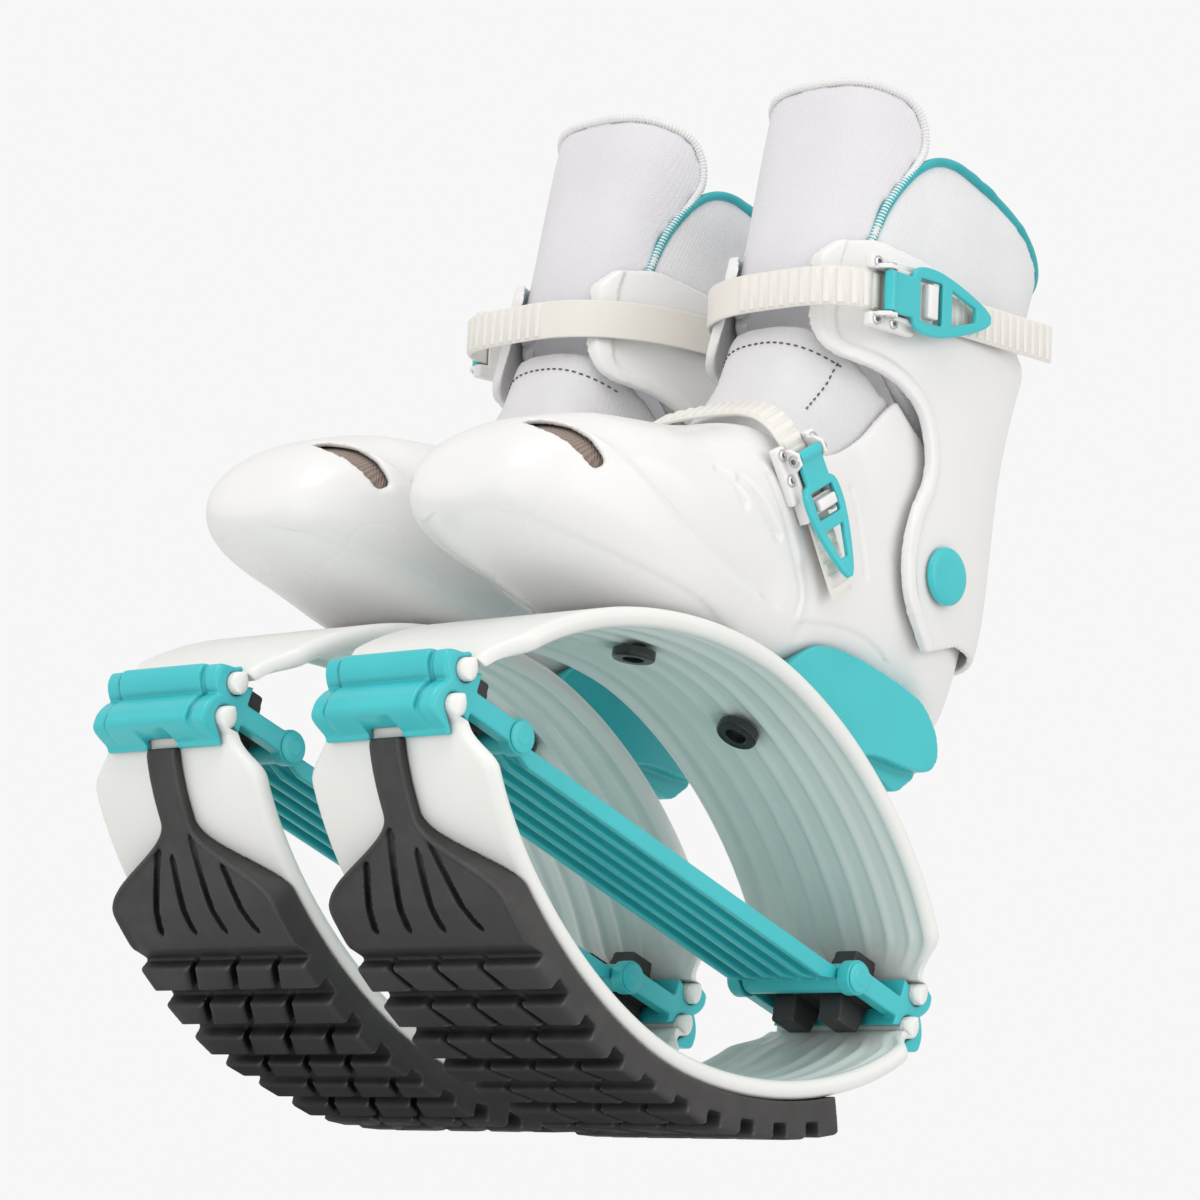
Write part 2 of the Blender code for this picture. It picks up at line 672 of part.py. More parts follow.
def tread_stations():
    """Distances along the tread, each with its half width, its thickness and its kind."""
    start = OVAL.distance_at(-SPRING_REACH) + TREAD_STRAP_DROP - SPRING_END_HEIGHT
    end = OVAL.distance_at(SPRING_REACH - TREAD_REAR_SETBACK)
    full = TREAD_BASE
    rows = []
    strap = TREAD_STRAP_WIDTH / 2
    wide = TREAD_WIDTH / 2
    rows.append((start, strap, TREAD_STRAP_THICKNESS, "plain"))
    rows.append((start + TREAD_STRAP_LENGTH / 2, strap, TREAD_STRAP_THICKNESS, "plain"))
    shoulder = start + TREAD_STRAP_LENGTH
    for part in (0, 0.25, 0.5, 0.75, 1.0):
        width = strap + (wide - strap) * smoothstep(part)
        thickness = TREAD_STRAP_THICKNESS + (full + TREAD_LUG_HEIGHT / 2 - TREAD_STRAP_THICKNESS) * part
        rows.append((shoulder + TREAD_SHOULDER_LENGTH * part, width, thickness, "plain"))
    pad_end = shoulder + TREAD_SHOULDER_LENGTH + TREAD_PAD_LENGTH
    rows.append((pad_end, wide, full + TREAD_LUG_HEIGHT / 2, "plain"))
    pitch = (end - pad_end) / TREAD_LUG_ROWS
    for row in range(TREAD_LUG_ROWS):
        first = pad_end + pitch * row + TREAD_GROOVE
        rows.append((first, wide, full, "lug"))
        rows.append((pad_end + pitch * (row + 1), wide, full, "groove"))
    return rows


def tread_columns(row, lug_row):
    """Places across the tread of one station, as shares of its half width."""
    pitch = 2 / TREAD_LUGS
    gap = 2 * TREAD_GROOVE / TREAD_WIDTH
    skew = 2 * TREAD_LUG_SKEW / TREAD_WIDTH
    stagger = gap if lug_row % 2 else -gap
    lean = skew if row == "groove" else -skew
    shares = [-1.0]
    for lug in range(1, TREAD_LUGS):
        middle = -1 + pitch * lug + stagger + lean
        shares += [middle - gap / 2, middle + gap / 2]
    return shares + [1.0]


def add_tread():
    """The rubber outsole: a front strap, shoulders and rows of lugs on the lower spring."""
    stations = tread_stations()
    shape = bmesh.new()
    outer = []
    inner = []
    lug_row = 0
    for distance, half_width, thickness, kind in stations:
        bottom = OVAL.at(distance, CLEARANCE + thickness)
        top = OVAL.at(distance, CLEARANCE)
        shares = tread_columns(kind, lug_row)
        if kind == "groove":
            lug_row += 1
        outer.append([shape.verts.new((half_width * share, bottom.x, bottom.y)) for share in shares])
        inner.append([shape.verts.new((half_width * share, top.x, top.y)) for share in (-1, 1)])
    lugs = []
    for index in range(len(stations) - 1):
        near, far = outer[index], outer[index + 1]
        for column in range(len(near) - 1):
            face = shape.faces.new((near[column], near[column + 1], far[column + 1], far[column]))
            if stations[index][3] == "lug" and column % 2 == 0:
                lugs.append((face, index))
        shape.faces.new((inner[index][0], inner[index + 1][0], inner[index + 1][1], inner[index][1]))
        shape.faces.new((near[0], far[0], inner[index + 1][0], inner[index][0]))
        shape.faces.new((near[-1], inner[index][1], inner[index + 1][1], far[-1]))
    for end in (0, -1):
        shape.faces.new([*outer[end], inner[end][1], inner[end][0]])
    bmesh.ops.recalc_face_normals(shape, faces=shape.faces)
    raise_lugs(shape, lugs, stations)
    mesh = finished(shape)
    mesh.transform(MIRROR_HEIGHT)
    mesh.flip_normals()
    tread = piece("outsole_tread", mesh, "black_rubber")
    combine(tread, tread_slots())


def raise_lugs(shape, lugs, stations):
    """Extrude each lug's face from the tread, and level the lugs that stand on the ground."""
    faces = [face for face, index in lugs]
    pitches = [(stations[index][0] + stations[index + 1][0]) / 2 for face, index in lugs]
    raised = bmesh.ops.extrude_discrete_faces(shape, faces=faces)["faces"]
    ground = 2 * MIDDLE_HEIGHT
    for face, distance in zip(raised, pitches):
        normal = OVAL.normal(distance)
        for corner in face.verts:
            corner.co.y += normal.x * TREAD_LUG_HEIGHT
            corner.co.z = min(corner.co.z + normal.y * TREAD_LUG_HEIGHT, ground)


def tread_slots():
    """Slanting slots across the tread's pad, in front of its lugs."""
    start = OVAL.distance_at(-SPRING_REACH) + TREAD_STRAP_DROP + TREAD_STRAP_LENGTH
    middle = start + TREAD_SHOULDER_LENGTH
    depth = TREAD_BASE + TREAD_LUG_HEIGHT / 4
    near = OVAL.at(middle - TREAD_SLOT_LENGTH / 2, depth)
    far = OVAL.at(middle + TREAD_SLOT_LENGTH / 2, depth)
    along = (far - near).normalized()
    out = Vector((-along.y, along.x)) * OVERRUN
    slots = []
    for slot in range(TREAD_SLOTS):
        side = (2 * slot + 1) / TREAD_SLOTS - 1
        outline = [near, far, far + out, near + out]
        if abs(side) > 0.5:
            short = near.lerp(far, SHORT_SLOT_share)
            outline = [short, far, far + out, short + out]
        mesh = side_prism([tuple(place) for place in outline], -TREAD_SLOT_WIDTH / 2, TREAD_SLOT_WIDTH / 2)
        mesh.transform(Matrix.Translation((side * TREAD_WIDTH * SLOT_SPREAD_share, 0, 0)))
        mesh.transform(MIRROR_HEIGHT)
        mesh.flip_normals()
        slots.append(mesh)
    return merged(slots)


def bead_centre():
    """The bead of the upper spring's front end, in side view."""
    place = OVAL.at(0, -SPRING_BEAD_SETBACK)
    return Vector((place.x, place.y + SPRING_BEAD_RADIUS))


def arc(centre, radius, start_degrees, end_degrees, steps):
    """Points on a part of a circle in side view; 0 degrees is towards +Y and 90 is up."""
    points = []
    for step in range(steps + 1):
        angle = math.radians(start_degrees + (end_degrees - start_degrees) * step / steps)
        points.append((centre[0] + radius * math.cos(angle), centre[1] + radius * math.sin(angle)))
    return points


def clip_half(rise, wall):
    """Half of a front clip's side outline, from its waist over the lip and round the bead's seat."""
    centre = bead_centre()
    seat = SPRING_BEAD_RADIUS + CLEARANCE
    spring_face = OVAL.at(rise - SPRING_END_HEIGHT, CLIP_LIP_GAP)
    back = centre.x + seat + CLIP_BACK_WALL
    points = [(centre.x - seat - wall + CLIP_STEP, MIDDLE_HEIGHT)]
    points += arc(centre, seat + wall, 205, 180, 2)
    points.append((spring_face.x - CLIP_LIP_THICKNESS, MIDDLE_HEIGHT + rise))
    points.append((spring_face.x, MIDDLE_HEIGHT + rise))
    points += arc(centre, seat, 150, 375, 8)
    points.append((back, centre.y + CLIP_BACK_RISE))
    points.append((back, MIDDLE_HEIGHT))
    return points


def clip_outline(wall):
    """A front clip's closed side outline: two seats back to back, opening up and down."""
    upper = clip_half(CLIP_LIP_RISE, wall)
    lower = clip_half(CLIP_LIP_DROP, wall)
    mirrored = [(y, 2 * MIDDLE_HEIGHT - z) for y, z in reversed(lower[1:-1])]
    return upper + mirrored


def clip_body():
    """The channels of a front clip, with a raised band at each side."""
    half = CLIP_WIDTH / 2
    bands = (
        (-half, CLIP_STEP), (-half + CLIP_SIDE_BAND, CLIP_STEP), (-half + CLIP_SIDE_BAND + CLIP_STEP, 0),
        (half - CLIP_SIDE_BAND - CLIP_STEP, 0), (half - CLIP_SIDE_BAND, CLIP_STEP), (half, CLIP_STEP),
    )
    rings = []
    for place, step in bands:
        rings.append([(place, y, z) for y, z in clip_outline(CLIP_WALL + step)])
    return loft(rings)


def arm_mesh(side):
    """One arm of a front clip, out to the boss of its band pin."""
    start = bead_centre().x + SPRING_BEAD_RADIUS + CLEARANCE + CLIP_BACK_WALL / 2
    middle = MIDDLE_HEIGHT - ARM_DROP
    outline = [(start, middle - ARM_HEIGHT / 2)]
    outline += arc((-BOSS_REACH, middle), BOSS_RADIUS, -140, 140, 9)
    outline.append((start, middle + ARM_HEIGHT / 2))
    outer = CLIP_WIDTH / 2
    inner = outer - ARM_THICKNESS
    if side > 0:
        return side_prism(outline, inner, outer)
    return side_prism(outline, -outer, -inner)


def boss_place(end):
    """The axis of a band pin in side view: end is -1 in front and 1 behind."""
    return Vector((0, end * BOSS_REACH, MIDDLE_HEIGHT - ARM_DROP))


def pin_hole(end):
    """The hole of a band pin, across the shoe."""
    reach = Vector((CLIP_WIDTH, 0, 0))
    place = boss_place(end)
    return rod(place - reach, place + reach, PIN_RADIUS + CLEARANCE, SMALL_FACETS)


def facing(mesh, end):
    """Turn a mesh made for the front end to the end that it belongs to."""
    if end > 0:
        mesh.transform(Matrix.Scale(-1, 4, (0, 1, 0)))
        mesh.flip_normals()
    return mesh


def strap_notch():
    """The notch in the front clip's lower lip, where the tread's strap comes out."""
    half = TREAD_STRAP_WIDTH / 2 + 2 * CLEARANCE
    top = MIDDLE_HEIGHT - TREAD_STRAP_DROP + CLIP_LIP_THICKNESS
    low = (-half, -SPRING_REACH - OVERRUN, 0)
    return block(low, (half, -SPRING_REACH + OVERRUN, top))


def add_clips():
    """The two end clips, which hold the springs' beads and the band."""
    for end, name in ((-1, "front_clip"), (1, "rear_clip")):
        clip = piece(name, facing(clip_body(), end), "sea_green")
        for side in (-1, 1):
            combine(clip, facing(arm_mesh(side), end), "UNION")
        combine(clip, pin_hole(end))
        if end < 0:
            combine(clip, strap_notch())


def add_band():
    """The ribbed band between the arms, with an eye at each end."""
    half = CLIP_WIDTH / 2 - ARM_THICKNESS - 2 * CLEARANCE
    middle = MIDDLE_HEIGHT - ARM_DROP
    top = middle + BAND_THICKNESS / 2
    bottom = middle - BAND_THICKNESS / 2
    reach = BOSS_REACH - BAND_EYE_RADIUS / 2
    pitch = (2 * half - BAND_RIB_WIDTH) / (BAND_RIBS - 1)
    rings = []
    stations = ((-reach, 0.1), (-reach + BAND_RIB_TAPER, 1), (reach - BAND_RIB_TAPER, 1), (reach, 0.1))
    for place, share in stations:
        rib = bottom - BAND_RIB_HEIGHT * share
        ring = [(half, place, top), (-half, place, top)]
        for index in range(BAND_RIBS):
            left = -half + pitch * index
            right = left + BAND_RIB_WIDTH
            low = [(left, place, rib), (right, place, rib)]
            before = [(left, place, bottom)] if index else []
            after = [(right, place, bottom)] if index < BAND_RIBS - 1 else []
            ring += before + low + after
        rings.append(ring)
    band = piece("tension_band", loft(rings), "sea_green")
    for end in (-1, 1):
        place = boss_place(end)
        side = Vector((half, 0, 0))
        combine(band, rod(place - side, place + side, BAND_EYE_RADIUS), "UNION")
        combine(band, pin_hole(end))


def add_band_pins():
    """The pins that hold the band's eyes in the bosses."""
    for end, name in ((-1, "front_band_pin"), (1, "rear_band_pin")):
        place = boss_place(end)
        side = Vector((CLIP_WIDTH / 2 - CLEARANCE, 0, 0))
        piece(name, rod(place - side, place + side, PIN_RADIUS, SMALL_FACETS), "steel")


def add_bump_stops():
    """Rubber blocks behind the clips, with fins that the springs come down on."""
    front = bead_centre().x + SPRING_BEAD_RADIUS + CLIP_BACK_WALL + 2 * CLEARANCE
    back = -BOSS_REACH - BAND_EYE_RADIUS - 2 * CLEARANCE
    half = CLIP_WIDTH / 2 - ARM_THICKNESS - 2 * CLEARANCE
    base = STOP_BASE_HEIGHT / 2
    taper = (back - front) / 5
    rise = STOP_RISE
    fin = [
        (front + taper, -rise), (back - taper, -rise), (back - taper / 3, -base / 2),
        (back - taper / 3, base / 2), (back - taper, rise), (front + taper, rise),
        (front + taper / 3, base / 2), (front + taper / 3, -base / 2),
    ]
    fin = [(y, MIDDLE_HEIGHT + z) for y, z in fin]
    for end, name in ((-1, "front_bump_stop"), (1, "rear_bump_stop")):
        low = (-half, front, MIDDLE_HEIGHT - base)
        stop = piece(name, facing(block(low, (half, back, MIDDLE_HEIGHT + base)), end), "black_rubber")
        for side in (-1, 1):
            middle = side * STOP_FIN_SPREAD / 2
            mesh = side_prism(fin, middle - STOP_FIN_WIDTH / 2, middle + STOP_FIN_WIDTH / 2)
            combine(stop, facing(mesh, end), "UNION")


def toe_shift(place):
    """How far the boot's middle line lies towards the inner side, at a place on Y."""
    return TOE_SHIFT * smoothstep((-place - TOE_SHIFT_START) / TOE_SHIFT_LENGTH)


def section_rings(rows, inset=0.0, overrun=0.0, facets=SECTION_FACETS):
    """Rings of a boot's or leg's loft, whose surface lies inset inside the rows' own."""
    ends = [(Vector(side_point(row[0:2])), Vector(side_point(row[2:4]))) for row in rows]
    centres = [(first + last) / 2 for first, last in ends]
    widths = [row[4] * BOOT_WIDTH / 2 for row in rows]
    rings = []
    for index, row in enumerate(rows):
        before = max(index - 1, 0)
        after = min(index + 1, len(rows) - 1)
        run = centres[after] - centres[before]
        slope = math.atan2(widths[after] - widths[before], run.length)
        along = run.normalized()
        lengthwise = ends[index][0] - ends[index][1]
        semi = lengthwise.length / 2 - inset * math.cos(slope)
        half = widths[index] - inset * math.cos(slope)
        centre = centres[index] + along * inset * math.sin(slope)
        ring = oval_ring(centre, lengthwise.normalized(), semi, half, row[5:7], facets)
        rings.append([(x - toe_shift(y), y, z) for x, y, z in ring])
    if overrun:
        rings.append([(x, y + along.x * overrun, z + along.y * overrun) for x, y, z in rings[-1]])
    return rings


def oval_ring(centre, towards, semi, half, powers, facets):
    """A ring whose two halves may be more or less square."""
    ring = []
    for step in range(facets):
        angle = 2 * math.pi * (step + 0.5) / facets
        power = powers[0] if math.cos(angle) > 0 else powers[1]
        along = math.copysign(abs(math.cos(angle)) ** (2 / power), math.cos(angle)) * semi
        across = math.copysign(abs(math.sin(angle)) ** (2 / power), math.sin(angle)) * half
        place = centre + towards * along
        ring.append((across, place.x, place.y))
    return ring


def above(outline):
    """Close a side line upwards, to cut away all that lies over it."""
    top = SHAFT_FOOT_HEIGHT + 2 * SHAFT_HEIGHT
    return outline + [(outline[-1][0], top), (outline[0][0], top)]


def wide_prism(outline):
    """A side outline extruded well past both sides of the boot."""
    return side_prism(outline, -BOOT_WIDTH, BOOT_WIDTH)


def vent_mesh(side):
    """An oval cutter for a toe vent, whose length follows the toe's front edge."""
    reach, height = side_point(VENT_PLACE_shares)
    out = Vector(VENT_OUT_shares).normalized()
    across = out.cross(Vector(VENT_ALONG_shares)).normalized()
    turn = Matrix((across.cross(out), across, out)).transposed().to_4x4()
    shape = bmesh.new()
    bmesh.ops.create_cone(
        shape, cap_ends=True, segments=ROUND_FACETS, radius1=1, radius2=1, depth=VENT_DEPTH
    )
    bmesh.ops.scale(shape, vec=(VENT_LENGTH / 2, VENT_WIDTH / 2, 1), verts=shape.verts)
    shape.transform(Matrix.Translation((VENT_SPREAD / 2, reach, height)) @ turn)
    shape.transform(Matrix.Scale(side, 4, (1, 0, 0)))
    shape.transform(Matrix.Translation((-toe_shift(reach), 0, 0)))
    return finished(shape)


def ankle_hole():
    """The hole of the ankle pins, through both sides of the cuff and the boot."""
    reach = Vector((BOOT_WIDTH, 0, 0))
    place = Vector((0, ANKLE_REACH, ANKLE_HEIGHT))
    return rod(place - reach, place + reach, ANKLE_PIN_RADIUS + CLEARANCE)


def add_boot_shell():
    """The moulded boot: a hollow loft with an open throat, two toe vents and holes for its bolts."""
    shell = piece("boot_shell", loft(section_rings(BOOT_SECTION_shares)), "white_gloss")
    combine(shell, loft(section_rings(BOOT_SECTION_shares, BOOT_WALL, OVERRUN)))
    combine(shell, wide_prism(above(side_outline(THROAT_shares))))
    combine(shell, merged([vent_mesh(-1), vent_mesh(1)]))
    combine(shell, spring_envelope())
    combine(shell, merged([bolt_hole(-1), bolt_hole(1)]))
    combine(shell, ankle_hole())


def add_heel_pad():
    """The wedge between the spring and the boot's heel, with its lower lobe."""
    half = PAD_WIDTH / 2
    pad = piece("heel_pad", side_prism(side_outline(PAD_shares), -half, half), "sea_green")
    lobe = PAD_LOBE_WIDTH / 2
    combine(pad, side_prism(side_outline(LOBE_shares), -lobe, lobe), "UNION")
    combine(pad, loft(section_rings(BOOT_SECTION_shares, -PAD_GAP)))
    combine(pad, spring_envelope())
    combine(pad, bolt_hole(1))


def add_boot_liner():
    """The padded inner shoe, with the foot's cavity."""
    outer = BOOT_WALL + LINER_GAP
    liner = piece("boot_liner", loft(section_rings(BOOT_SECTION_shares, outer)), "fabric")
    combine(liner, loft(section_rings(BOOT_SECTION_shares, outer + LINER_PADDING, OVERRUN, SMALL_FACETS)))
    combine(liner, wide_prism(above(side_outline(LINER_TOP_shares))))


def padded_leg():
    """The wall of the liner's leg, before its collar or its tongue is cut from it."""
    return loft(section_rings(LEG_SECTION_shares))


def leg_cavity():
    """The space inside the padded leg, past both its ends."""
    rings = section_rings(LEG_SECTION_shares, LINER_PADDING, OVERRUN)
    below = [(x, y, z - OVERRUN) for x, y, z in rings[0]]
    return loft([below] + rings)


def ankle_pivot():
    """The axis that the cuff leans about."""
    return (0, ANKLE_REACH, ANKLE_HEIGHT)


def add_collar_and_tongue():
    """The padded collar round the back of the leg, and the tongue in front of it."""
    for name, shares in (("liner_collar", COLLAR_shares), ("liner_tongue", TONGUE_shares)):
        item = piece(name, padded_leg(), "fabric", ankle_pivot())
        combine(item, leg_cavity())
        combine(item, wide_prism(side_outline(shares)), "INTERSECT")


def inner_rim_outline():
    """The side outline of the cuff inside its raised front rim."""
    rim = side_outline(CUFF_RIM_shares)
    points = []
    for index, place in enumerate(rim):
        before = Vector(rim[max(index - 1, 0)])
        after = Vector(rim[min(index + 1, len(rim) - 1)])
        along = (after - before).normalized()
        points.append(tuple(Vector(place) + Vector((-along.y, along.x)) * CUFF_RIM_WIDTH))
    far = BOOT_LENGTH
    bottom = (far, points[-1][1] - OVERRUN)
    top = (far, SHAFT_FOOT_HEIGHT + 2 * SHAFT_HEIGHT)
    return points + [(points[-1][0], bottom[1]), bottom, top, (points[0][0], top[1])]


def cuff_loft(inset):
    """The cuff's loft, with its surface moved in by inset."""
    return loft(section_rings(CUFF_SECTION_shares, inset))


def recess_mesh():
    """The space that leaves the cuff's front rim raised over the rest."""
    ring = linked("recess", side_prism(inner_rim_outline(), -BOOT_WIDTH, BOOT_WIDTH), CUTTERS)
    core = linked("recess_core", cuff_loft(0), CUTTERS)
    boolean = ring.modifiers.new("difference", "BOOLEAN")
    boolean.operation = "DIFFERENCE"
    boolean.solver = "EXACT"
    boolean.object = core
    mesh = evaluated_mesh(ring)
    bpy.data.objects.remove(ring, do_unlink=True)
    bpy.data.objects.remove(core, do_unlink=True)
    return mesh


def add_cuff():
    """The moulded cuff, open in front, with a raised front rim."""
    cuff = piece("cuff", cuff_loft(-CUFF_RIM_STEP), "white_gloss", ankle_pivot())
    rings = section_rings(CUFF_SECTION_shares, CUFF_WALL, OVERRUN)
    below = [(x, y, z - OVERRUN) for x, y, z in rings[0]]
    combine(cuff, loft([below] + rings))
    combine(cuff, wide_prism(side_outline(CUFF_RIM_shares + CUFF_BACK_shares)), "INTERSECT")
    combine(cuff, recess_mesh())
    combine(cuff, ankle_hole())


def add_ankle_rivets():
    """The domed discs that the cuff turns on, each with its pin in the boot's side."""
    seat = CUFF_SECTION_shares[2][4] * BOOT_WIDTH / 2 + ANKLE_SEAT_GAP
    edge = ANKLE_DISC_THICKNESS / 2
    profile = (
        (0, ANKLE_DISC_THICKNESS),
        (ANKLE_DISC_RADIUS * DOME_REACH_share, ANKLE_DISC_THICKNESS * DOME_RISE_share),
        (ANKLE_DISC_RADIUS, edge), (ANKLE_DISC_RADIUS, 0), (ANKLE_PIN_RADIUS, 0),
        (ANKLE_PIN_RADIUS, -ANKLE_PIN_LENGTH), (0, -ANKLE_PIN_LENGTH),
    )
    for side, name in ((1, "ankle_rivet_outer"), (-1, "ankle_rivet_inner")):
        mesh = turned(profile)
        turn = Vector((side, 0, 0)).to_track_quat("Z", "Y").to_matrix().to_4x4()
        mesh.transform(Matrix.Translation((side * seat, ANKLE_REACH, ANKLE_HEIGHT)) @ turn)
        piece(name, mesh, "sea_green")


class Strap:
    """A strap's line: a sloping plane, and in it a curve from the outer side round the front."""

    def __init__(self, height, slope_degrees, crown, front, half_width, bends, powers, ends):
        self.height = height
        self.crown = crown
        self.half_width = half_width
        slope = math.radians(slope_degrees)
        self.rearward = Vector((0, math.cos(slope), math.sin(slope)))
        self.upward = Vector((0, -math.sin(slope), math.cos(slope)))
        places = [(half_width, ends[0])]
        for index in range(CURVE_SAMPLES + 1):
            angle = math.pi * index / CURVE_SAMPLES
            inner = index > CURVE_SAMPLES / 2
            along = math.sin(angle) ** (2 / powers[inner])
            across = math.copysign(abs(math.cos(angle)) ** (2 / powers[inner]), math.cos(angle))
            places.append((across * half_width, front + bends[inner] * (1 - along)))
        places.append((-half_width, ends[1]))
        self.track = Track(places)

    def at(self, distance, out, up):
        """A point of the strap: distance along it, height over its inner face, place in its width."""
        flat = self.track.at(distance, out)
        share = self.track.at(distance).x / self.half_width
        rise = up + self.crown * (1 - share * share)
        return Vector((flat.x, 0, self.height)) + self.rearward * flat.y + self.upward * rise


def add_strap(name, strap, width, material):
    """A ladder strap: teeth from its free end to the front, then plain to where it is held."""
    half = width / 2
    length = strap.track.length
    toothed = length * STRAP_TOOTHED_share
    teeth = int(toothed / STRAP_TOOTH_PITCH)
    stations = []
    for tooth in range(teeth):
        low = STRAP_TOOTH_PITCH * tooth
        stations.append((low, 0.0))
        stations.append((low + STRAP_TOOTH_PITCH - STRAP_TOOTH_DROP, STRAP_TOOTH_HEIGHT))
    last = STRAP_TOOTH_PITCH * teeth
    steps = 10
    for step in range(steps + 1):
        stations.append((last + (length - last) * step / steps, 0.0))
    rings = []
    for distance, tooth in stations:
        outer = STRAP_THICKNESS + tooth
        corners = ((0.0, -half), (outer, -half), (outer, half), (0.0, half))
        rings.append([strap.at(distance, out, up) for out, up in corners])
    piece(name, loft(rings), material)


def buckle_frame(strap, reach, length):
    """The frame of a buckle on a strap: X along its lever, Y across, Z out from the strap."""
    start = strap.track.places[0][1]
    near = strap.at(start - reach, 0, 0)
    far = strap.at(start - reach - length / 2, 0, 0)
    along = (far - near).normalized()
    out = along.cross(strap.upward)
    turn = Matrix((along, strap.upward, out)).transposed().to_4x4()
    return Matrix.Translation(near) @ turn


def mirrored_outline(side):
    """Close an outline with its own mirror image across the lever's middle line."""
    return list(side) + [(along, -across) for along, across in reversed(side)]


def lever_mesh(length, width, neck):
    """A buckle's lever: a tapering plate with two windows."""
    half = width / 2
    side = [(-LEVER_BARREL_RADIUS / 2, neck), (LEVER_NECK_share * length, neck)]
    side += [(along * length, across * half) for along, across in LEVER_SIDE_shares]
    outlines = [mirrored_outline(side)]
    for shares in (LEVER_WINDOW_shares, LEVER_TIP_WINDOW_shares):
        outlines.append(mirrored_outline([(along * length, across * half) for along, across in shares]))
    mesh = outline_mesh(outlines, LEVER_THICKNESS)
    mesh.transform(Matrix.Translation((0, 0, LEVER_PIN_HEIGHT)))
    return mesh


def cheek_mesh(side, inner, length):
    """One cheek of a buckle's base: high round the pin, then low beside the tab."""
    top = LEVER_PIN_HEIGHT + LEVER_BARREL_RADIUS
    low = LEVER_FLOOR - CLEARANCE
    floor = -STRAP_GAP - BUCKLE_FLOOR
    reach = LEVER_BARREL_RADIUS * 2
    end = TAB_BLOCK_shares[1][0] * length + BUCKLE_CHEEK
    outline = (
        (-reach, floor), (end, floor), (end, low - BUCKLE_CHEEK), (end - BUCKLE_CHEEK, low), (reach, low),
        (reach / 2, top), (-reach / 2, top), (-reach, low),
    )
    mesh = outline_mesh([outline], BUCKLE_CHEEK)
    middle = side * (inner + BUCKLE_CHEEK / 2)
    mesh.transform(Matrix.Translation((0, middle, 0)) @ BUCKLE_SIDE_PLANE)
    return mesh


def add_buckle(prefix, frame, strap_width, length, width):
    """A ratchet buckle: a base with two cheeks, a lever on a pin, and a release tab in its window."""
    inner = strap_width / 2 + BUCKLE_SIDE_GAP
    neck = inner - CLEARANCE
    outer = inner + BUCKLE_CHEEK
    pin = frame @ Vector((0, 0, LEVER_PIN_HEIGHT))
    end = TAB_BLOCK_shares[1][0] * length + BUCKLE_CHEEK
    floor = block(
        (-LEVER_PIN_RADIUS, -outer + CLEARANCE, CLEARANCE - STRAP_GAP - BUCKLE_FLOOR),
        (end - CLEARANCE, outer - CLEARANCE, -STRAP_GAP),
    )
    reach = Vector((0, outer + OVERRUN, 0))
    centre = Vector((0, 0, LEVER_PIN_HEIGHT))
    hole = rod(centre - reach, centre + reach, LEVER_PIN_RADIUS + CLEARANCE, SMALL_FACETS)

    floor.transform(frame)
    base = piece(prefix + "_buckle_base", floor, "white_gloss")
    for side in (-1, 1):
        cheek = cheek_mesh(side, inner, length)
        cheek.transform(frame)
        combine(base, cheek, "UNION")
    hole.transform(frame)
    combine(base, hole)

    plate = lever_mesh(length, width, neck)
    plate.transform(frame)
    lever = piece(prefix + "_buckle_lever", plate, "sea_green", pin)
    across = Vector((0, neck - CLEARANCE, 0))
    barrel = rod(centre - across, centre + across, LEVER_BARREL_RADIUS, SMALL_FACETS)
    barrel.transform(frame)
    combine(lever, barrel, "UNION")
    combine(lever, hole.copy())

    across = Vector((0, outer - CLEARANCE, 0))
    axle = rod(centre - across, centre + across, LEVER_PIN_RADIUS, SMALL_FACETS)
    axle.transform(frame)
    piece(prefix + "_lever_pin", axle, "steel", pin)

    (start, across_share), (stop, across_share) = TAB_BLOCK_shares
    bar = block(
        (start * length, -inner + CLEARANCE, TAB_FLOOR),
        (stop * length, inner - CLEARANCE, TAB_FLOOR + TAB_THICKNESS),
    )
    knob = block(
        (start * length + TAB_RISE, -across_share * width / 2, TAB_FLOOR + TAB_THICKNESS / 2),
        (stop * length - TAB_RISE, across_share * width / 2, LEVER_FLOOR + LEVER_THICKNESS + TAB_RISE),
    )
    bar.transform(frame)
    knob.transform(frame)
    tab = piece(prefix + "_release_tab", bar, "white_gloss", pin)
    combine(tab, knob, "UNION")


def top_strap_line():
    """The line of the strap round the leg."""
    return Strap(
        SHAFT_FOOT_HEIGHT + TOP_STRAP_HEIGHT_share * SHAFT_HEIGHT, TOP_STRAP_SLOPE_DEGREES,
        TOP_STRAP_CROWN, TOP_STRAP_FRONT, TOP_STRAP_HALF_WIDTH,
        (TOP_STRAP_BEND, TOP_STRAP_INNER_BEND), (TOP_STRAP_POWER, TOP_STRAP_INNER_POWER),
        (TOP_STRAP_TAIL, TOP_STRAP_ANCHOR),
    )


def instep_strap_line():
    """The line of the strap over the instep."""
    return Strap(
        SHAFT_FOOT_HEIGHT + INSTEP_STRAP_HEIGHT_share * SHAFT_HEIGHT, INSTEP_STRAP_SLOPE_DEGREES,
        INSTEP_STRAP_CROWN, INSTEP_STRAP_FRONT, INSTEP_STRAP_HALF_WIDTH,
        (INSTEP_STRAP_BEND, INSTEP_STRAP_BEND), (INSTEP_STRAP_POWER, INSTEP_STRAP_POWER),
        (INSTEP_STRAP_TAIL, INSTEP_STRAP_ANCHOR),
    )


